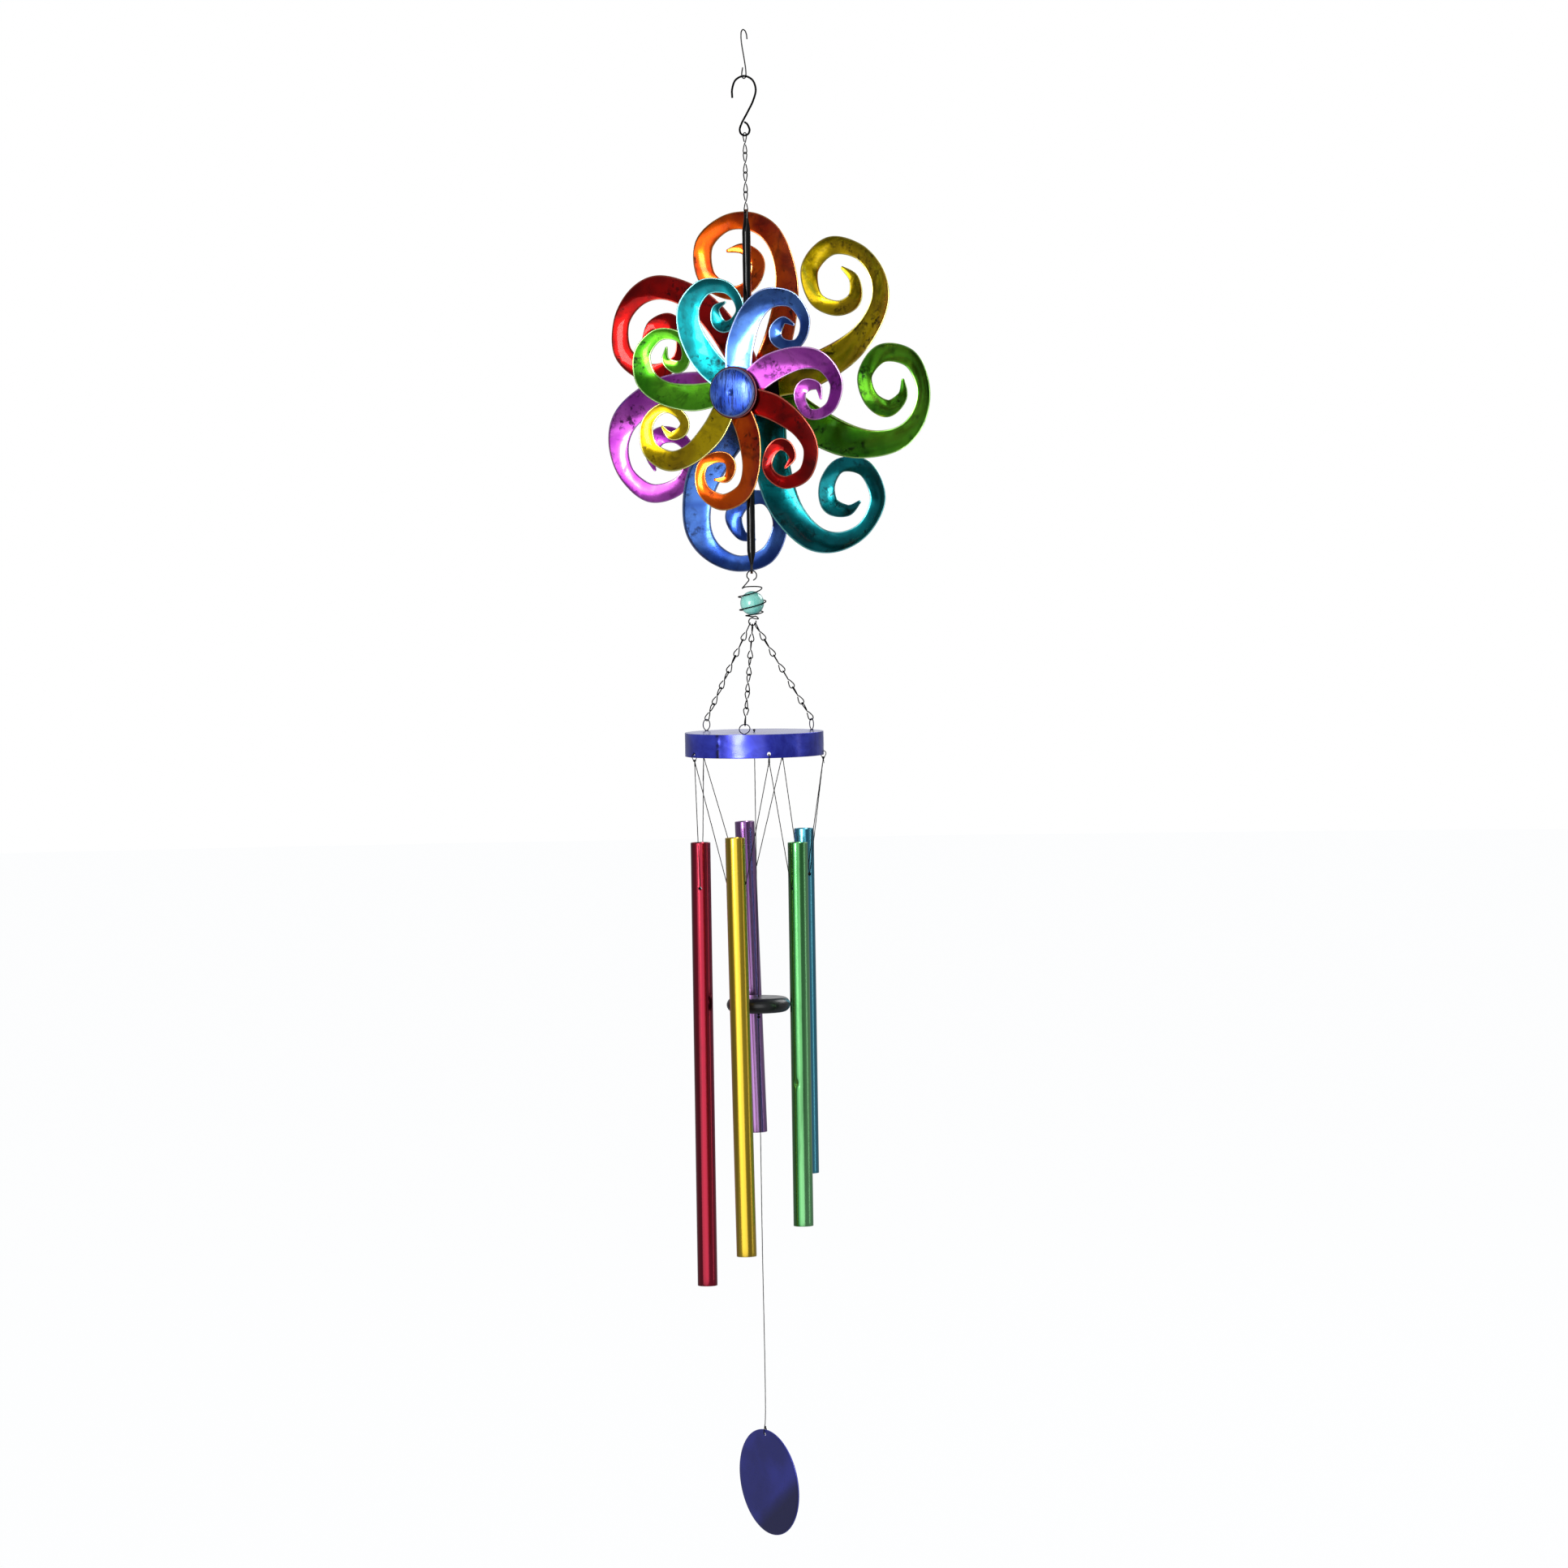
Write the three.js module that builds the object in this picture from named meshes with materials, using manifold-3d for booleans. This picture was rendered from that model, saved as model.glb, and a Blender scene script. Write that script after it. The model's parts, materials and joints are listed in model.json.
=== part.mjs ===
// Hanging kinetic wind sculpture: two counter-curled pinwheels on one axle, a caged marble,
// a chime pan with five tubes, a striker and a wind sail. Units mm, +Z up, origin at the hang point.
// The pinwheels' axle lies along Y, with the small pinwheel on the -Y side.
import * as THREE from 'three';
import Module from 'manifold-3d';

const wasm = await Module();
wasm.setup();
const { Manifold, Mesh } = wasm;

const RAD = Math.PI / 180;
const UP = new THREE.Vector3(0, 0, 1);
const GAP = 0.25;
const HOOK_GAP = 0.5;
const EYE_GAP = 0.9;

// --- hooks and top chain ---
const STEEL_WIRE = 0.55;
const STEEL_YAW = 76;
const BLACK_WIRE = 0.85;
const BLACK_YAW = 24.5;
const CROWN_Z = -37.85;
const BLACK_EYE_DROP = 49.2;
const LINK_WIRE = 0.45;
const LINK_HALF_WIDTH = 2.05;
const LINK_OVERLAP = 2 * LINK_WIRE + GAP;
const CHAIN_YAW = -20.5;
const TOP_LINKS = 4;

// --- spindle ---
const CAGE_RING_YAW = 30;
const ROD_TOP = -148.2;
const ROD_BOTTOM = -451.3;
const ROD_RADIUS = 3.5;
const TONGUE_RADIUS = 2.5;
const TONGUE_HALF = 1.1;
const TONGUE_LENGTH = 6;
const TAPER_LENGTH = 14;
const ROD_EYE_INSET = 2.6;
const ROD_EYE_RADIUS = 1.15;
const AXLE_Z = -300.3;
const AXLE_RADIUS = 2;
const BORE_RADIUS = 2.3;
const SPACER_RADIUS = 3.6;

// --- pinwheels ---
const PETALS = 7;
const FRONT_COLOURS = ['blue', 'magenta', 'red', 'orange', 'yellow', 'green', 'teal'];
const REAR_COLOURS = ['orange', 'yellow', 'green', 'teal', 'blue', 'magenta', 'red'];
// set: how far each petal sits clockwise of its even place, in degrees
const FRONT = { y: -22, turn: -1, phase: 49, sheet: 1.1, set: [0, 0, 0, 0, 0, 0, 0] };
const REAR = { y: 36, turn: 1, phase: 107.9, sheet: 0.55, set: [0.5, 0, 0.4, 1.1, -1.8, -1, 0.3] };
// Each row is a station on the petal's spine, from the hub to the curl's tip: distance out from the
// axle, distance across, band width, distance forward, and tilt of the outer edge in degrees.
FRONT.stations = [
  [17, -10.5, 22.5, 4.8, 12],
  [33.5, -22, 23.5, 5, 14],
  [57.5, -30, 20.5, 5.5, 21],
  [78, -27.5, 18.5, 5, 24],
  [91, -11.5, 14.5, 4, 17],
  [88, 6.5, 11.5, 3, 12],
  [77.5, 15, 9.5, 2, 12],
  [65.5, 15.5, 9, 0.5, 14],
  [57.5, 7, 9.5, -1, 16],
  [56, -2.5, 10.5, -2.5, 17],
  [62, -8, 11, -3, 15],
  [72, -7, 7, -2, 9],
  [75.5, 2.5, 2.5, -0.5, 0],
];
REAR.stations = [
  [15, -6, 28, 7, 12],
  [37.5, -27, 30, 7.5, 14],
  [69.5, -46, 29, 8, 21],
  [96.5, -52.5, 25, 8, 25],
  [122, -49, 22, 7.5, 24],
  [139, -33.5, 17, 6.5, 18],
  [145, -9.5, 14, 5.5, 14],
  [134.5, 15, 16, 4, 11],
  [108.5, 22, 15.5, 1, 12],
  [89.5, 6, 12.5, -3, 18],
  [92, -14, 13.5, -5, 17],
  [106.5, -24, 15, -5, 14],
  [121, -15.5, 10, -4, 8],
  [124, -2, 3, -1.5, 0],
];
const PETAL_STEPS = 32;
const PETAL_ROWS = 2;
const TROUGH_ROOT = 0.03;
const TROUGH = 0.11;
const HUB_PLATE_RADIUS = 22;
const HUB_PLATE_SHEET = 1.2;
const CAP_RADIUS = 20.4;
const RING_RADIUS = 21.8;
const RING_FORWARD = 7.6;
const CAP_RIM = 10.9;
const CAP_HEIGHT = 4.4;
const CAP_SHEET = 1.4;

// --- caged marble ---
const MARBLE_Z = -475.7;
const MARBLE_RADIUS = 10;
const CAGE_WIRE = 0.45;
const CAGE_EYE_TOP = 4.1;
const CAGE_EYE_LOW = 3.1;
const CAGE_LOW_EYE_Z = -494.3;
const CAGE_YAW = 15.9;
// The cage wire every eighth of a turn on its way down round the marble: distance from the axis, height.
const CAGE_COIL_YAW = 204.9;
const CAGE_COIL = [
  [8, -463.2], [8, -462.4], [8, -462.1], [8.1, -462.3], [8.3, -463.2], [8.8, -465.2], [9.6, -467.5],
  [10.6, -469.3], [11.4, -470.4], [11.6, -471.4], [11.6, -472.4], [11.6, -473.3], [11.5, -474.4],
  [11.4, -476.4], [11.2, -478.6], [10.9, -480.4], [10.5, -481.4], [10.2, -481.9], [9.9, -482.3],
  [9.5, -482.7], [9, -483.3], [8.2, -484.4], [7.2, -485.3], [6.3, -485.9], [5.4, -486.3], [4.4, -486.7],
  [3.3, -487.2],
];

// --- chime pan ---
const PAN_RADIUS = 58;
const PAN_TOP = -583.1;
const PAN_HEIGHT = 19.7;
const PAN_SHEET = 0.8;
const PAN_HOLE_Z = -599.3;
const PAN_HOLE_RADIUS = 1.6;
const EYE_CIRCLE = 51.5;
const EYE_Z = -578;
const EYE_RADIUS = 4.45;
const EYE_WIRE = 0.55;
const EYE_ANGLES = { right: 45.9, left: 165.9, front: 285.9 };
const EYE_LEANS = { right: 0, left: 0, front: 32 };
const LEG_LINKS = 6;
const LEG_SPREAD = 2.3;
const JOINED_OVERLAP = 2 * LINK_WIRE - 0.35;

// --- tubes ---
const TUBE_CIRCLE = 46.6;
const TUBE_RADIUS = 8.3;
const TUBE_WALL = 0.8;
const TUBE_HOLE_DROP = 38;
const TUBE_HOLE_RADIUS = 1.5;
const STRING_RADIUS = 0.4;
const LOOP_RADIUS = 2.4;
const LOOP_CIRCLE = 57.6;
const LOOP_Z = -601.9;
const KNOT_RADIUS = 1.1;
const KNOT_Z = -605.3;
const STRING_TOP = -606.9;
// Each tube hangs at an angle round the pan. Its strings let it sit a little to one side (shift)
// and lean sideways (lean, in degrees), both measured anticlockwise round the pan.
const TUBES = {
  red: { angle: 199.1, top: -675.3, length: 372, shift: 0, lean: 0 },
  yellow: { angle: 271.1, top: -669, length: 348.5, shift: 2.4, lean: 0.75 },
  green: { angle: 343.1, top: -674.3, length: 320, shift: 0, lean: 0 },
  blue: { angle: 55.1, top: -665.8, length: 290, shift: 0, lean: 0 },
  purple: { angle: 127.1, top: -660.5, length: 262.5, shift: -1.4, lean: -1.5 },
};

// --- striker and sail ---
const STRIKER_Z = -811.3;
const STRIKER_RADIUS = 26.6;
const STRIKER_THICK = 12.5;
const SAIL_RADIUS = 45;
const SAIL_SHEET = 1;
const SAIL_HOLE_Z = -1173;
const SAIL_HOLE_INSET = 4.2;
const SAIL_YAW = 238;
const SAIL_LEAN = 4.5;

const paint = (colour, metalness = 0.6, roughness = 0.3) =>
  new THREE.MeshStandardMaterial({ color: colour, metalness, roughness });

const MATERIALS = {
  steel: paint(0xb8bcc0, 0.9, 0.3),
  black: paint(0x17181a, 0.5, 0.35),
  crimson: paint(0x5a1020),
  glass: paint(0x8fe0dc, 0, 0.1),
  string: paint(0x101012, 0, 0.8),
  rubber: paint(0x141416, 0, 0.4),
  navy: paint(0x14174a),
  blue: paint(0x3f63c8),
  magenta: paint(0xb040b8),
  red: paint(0xb01818),
  orange: paint(0xd0561a),
  yellow: paint(0xa8a010),
  green: paint(0x3f9a22),
  teal: paint(0x119a9a),
  purple: paint(0x6a2a9a),
};

const model = new THREE.Group();

function add(name, geometry, material) {
  const mesh = new THREE.Mesh(geometry, MATERIALS[material]);
  mesh.name = name;
  model.add(mesh);
}

const vec = (x, y, z) => new THREE.Vector3(x, y, z);
const polar = (radius, degrees, z) =>
  vec(radius * Math.cos(degrees * RAD), radius * Math.sin(degrees * RAD), z);

// --- joining and cutting ---
function toSolid(geometry) {
  const bare = geometry.index ? geometry.toNonIndexed() : geometry;
  const at = bare.attributes.position.array;
  const mesh = new Mesh({
    numProp: 3,
    vertProperties: new Float32Array(at),
    triVerts: Uint32Array.from({ length: at.length / 3 }, (_, i) => i),
  });
  mesh.merge();
  return new Manifold(mesh);
}

function fromSolid(solid) {
  const mesh = solid.getMesh();
  const geometry = new THREE.BufferGeometry();
  geometry.setAttribute('position', new THREE.BufferAttribute(mesh.vertProperties, 3));
  geometry.setIndex(new THREE.BufferAttribute(mesh.triVerts, 1));
  return geometry;
}

const join = (parts) => fromSolid(Manifold.union(parts.map(toSolid)));
const cut = (body, tools) => fromSolid(toSolid(body).subtract(Manifold.union(tools.map(toSolid))));

// --- basic shapes ---
// A round wire bent through the given points, with a fixed number of sections between neighbours.
function wire(points, radius, perSpan, sides) {
  const section = new THREE.Shape();
  for (let i = 0; i < sides; i += 1) {
    const angle = (2 * Math.PI * i) / sides;
    const x = radius * Math.cos(angle);
    const y = radius * Math.sin(angle);
    if (i === 0) {
      section.moveTo(x, y);
    } else {
      section.lineTo(x, y);
    }
  }
  section.closePath();
  const path = new THREE.CatmullRomCurve3(points, false, 'centripetal');
  path.getPointAt = (u, target) => path.getPoint(u, target);
  path.getTangentAt = (u, target) => path.getTangent(u, target);
  const steps = (points.length - 1) * perSpan;
  return new THREE.ExtrudeGeometry(section, { steps, extrudePath: path, bevelEnabled: false });
}

function lathe(profile, sides) {
  const points = profile.map(([r, z]) => new THREE.Vector2(r, z));
  return new THREE.LatheGeometry(points, sides).rotateX(Math.PI / 2);
}

function cylinder(radius, from, to, sides) {
  const along = to.clone().sub(from);
  const shape = new THREE.CylinderGeometry(radius, radius, along.length(), sides).rotateX(Math.PI / 2);
  shape.applyQuaternion(new THREE.Quaternion().setFromUnitVectors(UP, along.clone().normalize()));
  return shape.translate(...from.clone().add(to).multiplyScalar(0.5).toArray());
}

function standing(points, yaw) {
  return points.map(([u, z]) => polar(u, yaw, z));
}

// --- hooks ---
function steelHook() {
  const bend = CROWN_Z - BLACK_WIRE - STEEL_WIRE - HOOK_GAP;
  return wire(standing([
    [4.9, -7],
    [4.2, -3],
    [2.4, -0.3],
    [0, STEEL_WIRE],
    [-2.2, -0.9],
    [-2.9, -5],
    [-2.3, -11],
    [0.4, -22],
    [2.4, -31],
    [2.8, -36.6],
    [2.0, bend + 0.8],
    [0, bend],
    [-2.0, bend + 0.8],
    [-2.7, -36.6],
    [-1.4, -31],
  ], STEEL_YAW), STEEL_WIRE, 2, 6);
}

function blackHook() {
  const bottom = CROWN_Z - BLACK_EYE_DROP;
  return wire(standing([
    [-9.9, CROWN_Z - 17.6],
    [-9.9, CROWN_Z - 11],
    [-6.9, CROWN_Z - 3.2],
    [0, CROWN_Z],
    [6.9, CROWN_Z - 3.2],
    [9.7, CROWN_Z - 11],
    [7.6, CROWN_Z - 20],
    [2.6, CROWN_Z - 30],
    [-2.6, bottom + 9.6],
    [-4.1, bottom + 4.6],
    [-2.9, bottom + 1.2],
    [0, bottom],
    [2.9, bottom + 1.2],
    [4.1, bottom + 4.3],
    [3.2, bottom + 7.5],
    [1.9, bottom + 9.7],
    [0.1, bottom + 11],
  ], BLACK_YAW), BLACK_WIRE, 2, 6);
}

// --- figure-eight chain links, each a bent wire with its two loops a quarter turn apart ---
function linkPoints(half) {
  const w = LINK_HALF_WIDTH;
  const shoulder = half - w;
  const bend = half - 0.293 * w;
  const loop = [
    [0.38 * w, 0.16 * half],
    [0.74 * w, 0.42 * half],
    [w, shoulder],
    [0.707 * w, bend],
    [0, half],
    [-0.707 * w, bend],
    [-w, shoulder],
    [-0.74 * w, 0.42 * half],
    [-0.32 * w, 0.13 * half],
  ];
  const upper = loop.map(([x, z]) => vec(x, 0, z));
  const lower = loop.map(([x, z]) => vec(0, -x, -z)).reverse();
  return [...upper, vec(0, 0, 0), ...lower];
}

function link(centre, half, down, across) {
  const side = across.clone().addScaledVector(down, -across.dot(down)).normalize();
  const other = new THREE.Vector3().crossVectors(down, side);
  const basis = new THREE.Matrix4().makeBasis(other, side, down.clone().negate());
  const shape = wire(linkPoints(half), LINK_WIRE, 1, 5);
  return shape.applyMatrix4(basis).translate(...centre.toArray());
}

function topChain() {
  const top = CROWN_Z - BLACK_EYE_DROP + BLACK_WIRE + LINK_WIRE + EYE_GAP;
  const bottom = ROD_TOP - ROD_EYE_INSET;
  const half = (top - bottom + (TOP_LINKS - 1) * LINK_OVERLAP) / (2 * TOP_LINKS);
  const across = polar(1, CHAIN_YAW + 90, 0).negate();
  for (let i = 0; i < TOP_LINKS; i += 1) {
    const z = top - half - i * (2 * half - LINK_OVERLAP);
    add(`top_link_${i + 1}`, link(vec(0, 0, z), half, vec(0, 0, -1), across), 'black');
  }
}

// --- spindle ---
function tongueCheeks(z, sign, yaw) {
  const size = 12;
  return [-1, 1].map((side) => {
    const slab = new THREE.BoxGeometry(size, size, TONGUE_LENGTH + 8);
    slab.translate(0, side * (TONGUE_HALF + size / 2), z + sign * (4 - TONGUE_LENGTH / 2));
    return slab.rotateZ(yaw * RAD);
  });
}

function rodEye(z, yaw) {
  const along = polar(5, yaw, 0);
  return cylinder(ROD_EYE_RADIUS, vec(0, 0, z).sub(along), vec(0, 0, z).add(along), 12);
}

function rod() {
  const shoulder = TONGUE_LENGTH + TAPER_LENGTH;
  const body = lathe([
    [0, ROD_BOTTOM],
    [TONGUE_RADIUS - 0.6, ROD_BOTTOM],
    [TONGUE_RADIUS, ROD_BOTTOM + 0.8],
    [TONGUE_RADIUS, ROD_BOTTOM + TONGUE_LENGTH],
    [ROD_RADIUS, ROD_BOTTOM + shoulder],
    [ROD_RADIUS, ROD_TOP - shoulder],
    [TONGUE_RADIUS, ROD_TOP - TONGUE_LENGTH],
    [TONGUE_RADIUS, ROD_TOP - 0.8],
    [TONGUE_RADIUS - 0.6, ROD_TOP],
    [0, ROD_TOP],
  ], 24);
  return cut(body, [
    ...tongueCheeks(ROD_TOP, 1, CHAIN_YAW),
    ...tongueCheeks(ROD_BOTTOM, -1, CAGE_RING_YAW - 90),
    rodEye(ROD_TOP - ROD_EYE_INSET, CHAIN_YAW + 90),
    rodEye(ROD_BOTTOM + ROD_EYE_INSET, CAGE_RING_YAW),
    cylinder(AXLE_RADIUS + 0.1, vec(0, -6, AXLE_Z), vec(0, 6, AXLE_Z), 20),
  ]);
}

// Turned parts on the axle: the profile is (radius, position along +Y).
function turned(profile, sides) {
  const points = profile.map(([r, y]) => new THREE.Vector2(r, y));
  return new THREE.LatheGeometry(points, sides).translate(0, 0, AXLE_Z);
}

function spindleParts(frontPlateBack, rearPlateFront, rearPlateBack) {
  add('rod', rod(), 'black');
  add('axle', turned([
    [0, frontPlateBack - 4.6],
    [4.2, frontPlateBack - 4.6],
    [4.2, frontPlateBack - 2.6],
    [AXLE_RADIUS, frontPlateBack - 2.6],
    [AXLE_RADIUS, rearPlateBack + 7],
    [0, rearPlateBack + 7],
  ], 16), 'steel');
  add('front_spacer', spacer(frontPlateBack + 0.3, -ROD_RADIUS - 0.3), 'black');
  add('rear_spacer', spacer(ROD_RADIUS + 0.3, rearPlateFront - 0.3), 'black');
  const hexagon = turned([
    [0, rearPlateBack + 0.4],
    [4.6, rearPlateBack + 0.4],
    [4.6, rearPlateBack + 4],
    [3.6, rearPlateBack + 5.4],
    [0, rearPlateBack + 5.4],
  ], 6);
  const bore = cylinder(AXLE_RADIUS + 0.1, vec(0, rearPlateBack - 2, AXLE_Z), vec(0, rearPlateBack + 8, AXLE_Z), 20);
  add('rear_nut', cut(hexagon, [bore]), 'steel');
}

function spacer(from, to) {
  return turned([
    [BORE_RADIUS, from],
    [SPACER_RADIUS, from],
    [SPACER_RADIUS, to],
    [BORE_RADIUS, to],
    [BORE_RADIUS, from],
  ], 14);
}

// --- petals ---
function splineAt(stations, column, t) {
  const last = stations.length - 1;
  const at = Math.min(t * last, last - 1e-9);
  const i = Math.floor(at);
  const pick = (k) => stations[Math.min(Math.max(k, 0), last)][column];
  const [a, b, c, d] = [pick(i - 1), pick(i), pick(i + 1), pick(i + 2)];
  const u = at - i;
  return 0.5 * (2 * b + (c - a) * u + (2 * a - 5 * b + 4 * c - d) * u * u
    + (3 * b - a - 3 * c + d) * u * u * u);
}

// A point of the petal's front face: along from root (0) to tip (1), across from -1 to +1 (outer edge).
function petalPoint(stations, along, across) {
  const step = 1e-4;
  const before = Math.max(along - step, 0);
  const after = Math.min(along + step, 1);
  const dx = splineAt(stations, 0, after) - splineAt(stations, 0, before);
  const dy = splineAt(stations, 1, after) - splineAt(stations, 1, before);
  const size = Math.hypot(dx, dy);
  const width = splineAt(stations, 2, along);
  const tilt = splineAt(stations, 4, along) * RAD;
  const trough = THREE.MathUtils.lerp(TROUGH_ROOT, TROUGH, Math.min(along * 6, 1));
  const reach = (width / 2) * across;
  return vec(
    splineAt(stations, 0, along) + (dy / size) * reach * Math.cos(tilt),
    splineAt(stations, 1, along) - (dx / size) * reach * Math.cos(tilt),
    splineAt(stations, 3, along) + reach * Math.sin(tilt) + trough * width * (across * across - 0.5),
  );
}

function petalGeometry(wheel, index) {
  const angle = (wheel.phase - (360 / PETALS) * index - wheel.set[index]) * RAD;
  const points = [];
  const place = (p, back) => {
    const y = p.y * wheel.turn;
    points.push(
      p.x * Math.cos(angle) - y * Math.sin(angle),
      wheel.y - p.z + back,
      AXLE_Z + p.x * Math.sin(angle) + y * Math.cos(angle),
    );
  };
  for (const back of [0, wheel.sheet]) {
    for (let i = 0; i <= PETAL_STEPS; i += 1) {
      for (let j = 0; j <= PETAL_ROWS; j += 1) {
        place(petalPoint(wheel.stations, i / PETAL_STEPS, (2 * j) / PETAL_ROWS - 1), back);
      }
    }
  }
  const geometry = new THREE.BufferGeometry();
  geometry.setAttribute('position', new THREE.Float32BufferAttribute(points, 3));
  geometry.setIndex(sheetFaces(PETAL_STEPS, PETAL_ROWS, wheel.turn > 0));
  return geometry;
}

// Faces of a thin sheet made of two grids of points, front then back, with a closed rim.
function sheetFaces(steps, rows, flip) {
  const across = rows + 1;
  const back = (steps + 1) * across;
  const faces = [];
  const quad = (a, b, c, d) => {
    if (flip) {
      faces.push(a, c, b, a, d, c);
    } else {
      faces.push(a, b, c, a, c, d);
    }
  };
  const at = (i, j) => i * across + j;
  for (let i = 0; i < steps; i += 1) {
    for (let j = 0; j < rows; j += 1) {
      quad(at(i, j), at(i + 1, j), at(i + 1, j + 1), at(i, j + 1));
      quad(back + at(i, j), back + at(i, j + 1), back + at(i + 1, j + 1), back + at(i + 1, j));
    }
    quad(at(i, 0), back + at(i, 0), back + at(i + 1, 0), at(i + 1, 0));
    quad(at(i, rows), at(i + 1, rows), back + at(i + 1, rows), back + at(i, rows));
  }
  for (let j = 0; j < rows; j += 1) {
    quad(at(0, j), at(0, j + 1), back + at(0, j + 1), back + at(0, j));
    quad(at(steps, j), back + at(steps, j), back + at(steps, j + 1), at(steps, j + 1));
  }
  return faces;
}

function petals(prefix, wheel, colours) {
  colours.forEach((colour, index) => {
    add(`${prefix}_petal_${colour}`, petalGeometry(wheel, index), colour);
  });
}

function hubPlate(front, back, sides) {
  return turned([
    [BORE_RADIUS, front],
    [HUB_PLATE_RADIUS, front],
    [HUB_PLATE_RADIUS, back],
    [BORE_RADIUS, back],
    [BORE_RADIUS, front],
  ], sides);
}

function hubRing(front, back) {
  return turned([
    [6, front],
    [RING_RADIUS, front],
    [RING_RADIUS, back],
    [6, back],
    [6, front],
  ], 28);
}

function hubCap(rimY) {
  const outer = [];
  const inner = [];
  const steps = 4;
  for (let i = 0; i <= steps; i += 1) {
    const r = i / steps;
    outer.push([CAP_RADIUS * r, rimY - CAP_HEIGHT * Math.sqrt(1 - 0.88 * r * r) + 0.35 * CAP_HEIGHT * r * r]);
  }
  const rim = outer[steps][1];
  for (let i = steps; i >= 0; i -= 1) {
    inner.push([(CAP_RADIUS - CAP_SHEET) * (i / steps), outer[i][1] + CAP_SHEET + (i === steps ? 0.2 : 0)]);
  }
  return turned([...outer, [CAP_RADIUS, rim + CAP_SHEET + 0.2], ...inner], 28);
}

function pinwheels() {
  const frontPlateBack = FRONT.y - 0.6;
  const rearPlateFront = REAR.y - 3.6;
  const rearPlateBack = rearPlateFront + HUB_PLATE_SHEET;
  spindleParts(frontPlateBack, rearPlateFront, rearPlateBack);
  add('front_hub_plate', hubPlate(frontPlateBack - HUB_PLATE_SHEET, frontPlateBack, 28), 'crimson');
  const ringBack = FRONT.y - RING_FORWARD;
  add('front_hub_ring', hubRing(ringBack - HUB_PLATE_SHEET, ringBack), 'crimson');
  add('front_hub_cap', hubCap(FRONT.y - CAP_RIM), 'blue');
  petals('front', FRONT, FRONT_COLOURS);
  add('rear_hub_plate', hubPlate(rearPlateFront, rearPlateBack, 28), 'black');
  petals('rear', REAR, REAR_COLOURS);
}

// --- caged marble ---
function cagePoints() {
  const points = [];
  const topEye = ROD_BOTTOM + ROD_EYE_INSET - CAGE_EYE_TOP;
  const ring = (radius, z, from, to, steps, yaw) => {
    for (let i = 0; i <= steps; i += 1) {
      const angle = (from + ((to - from) * i) / steps) * RAD;
      points.push(polar(radius * Math.cos(angle), yaw, z + radius * Math.sin(angle)));
    }
  };
  ring(CAGE_EYE_TOP, topEye, -70, 235, 8, CAGE_RING_YAW);
  points.push(polar(-4.5, CAGE_RING_YAW, topEye - 6.4));
  CAGE_COIL.forEach(([radius, z], i) => points.push(polar(radius, CAGE_COIL_YAW - 45 * i, z)));
  points.push(polar(3.2, CAGE_YAW, -486.9), polar(5.1, CAGE_YAW, -488.9));
  ring(CAGE_EYE_LOW, CAGE_LOW_EYE_Z + CAGE_EYE_LOW, 55, 370, 8, CAGE_YAW);
  return points;
}

function cagedMarble() {
  add('cage', wire(cagePoints(), CAGE_WIRE, 2, 5), 'black');
  const ball = new THREE.SphereGeometry(MARBLE_RADIUS, 18, 10);
  add('marble', ball.rotateX(Math.PI / 2).translate(0, 0, MARBLE_Z), 'glass');
}

// --- chime pan ---
function pan() {
  const bottom = PAN_TOP - PAN_HEIGHT;
  const inside = PAN_RADIUS - PAN_SHEET;
  const body = lathe([
    [0, PAN_TOP - PAN_SHEET],
    [inside, PAN_TOP - PAN_SHEET],
    [inside, bottom],
    [PAN_RADIUS, bottom],
    [PAN_RADIUS, PAN_TOP - 0.8],
    [PAN_RADIUS - 0.8, PAN_TOP],
    [0, PAN_TOP],
  ], 44);
  const holes = Object.values(TUBES).map(({ angle }) => cylinder(
    PAN_HOLE_RADIUS,
    polar(PAN_RADIUS - 4, angle + 36, PAN_HOLE_Z),
    polar(PAN_RADIUS + 4, angle + 36, PAN_HOLE_Z),
    12,
  ));
  for (const angle of Object.values(EYE_ANGLES)) {
    holes.push(cylinder(1, polar(EYE_CIRCLE, angle, PAN_TOP - 4), polar(EYE_CIRCLE, angle, PAN_TOP + 4), 10));
  }
  holes.push(cylinder(1, vec(0, 0, PAN_TOP - 4), vec(0, 0, PAN_TOP + 4), 10));
  return cut(body, holes);
}

// The middle of a pan eye, whose ring stands across the radius and leans in by its chain's pull.
function eyeCentre(angle, lean) {
  const foot = EYE_Z - EYE_RADIUS;
  return polar(EYE_CIRCLE - EYE_RADIUS * Math.sin(lean * RAD), angle, foot + EYE_RADIUS * Math.cos(lean * RAD));
}

function panEye(angle, lean) {
  const ring = new THREE.TorusGeometry(EYE_RADIUS, EYE_WIRE, 5, 16).rotateX(Math.PI / 2);
  ring.rotateX(-lean * RAD).rotateZ((angle + 90) * RAD).translate(...eyeCentre(angle, lean).toArray());
  const at = (z) => polar(EYE_CIRCLE, angle, z);
  const low = PAN_TOP - PAN_SHEET - 0.3;
  return join([
    ring,
    cylinder(0.7, at(EYE_Z - EYE_RADIUS), at(low - 0.5), 6),
    cylinder(1.8, at(low), at(low - 1), 8),
  ]);
}

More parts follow.
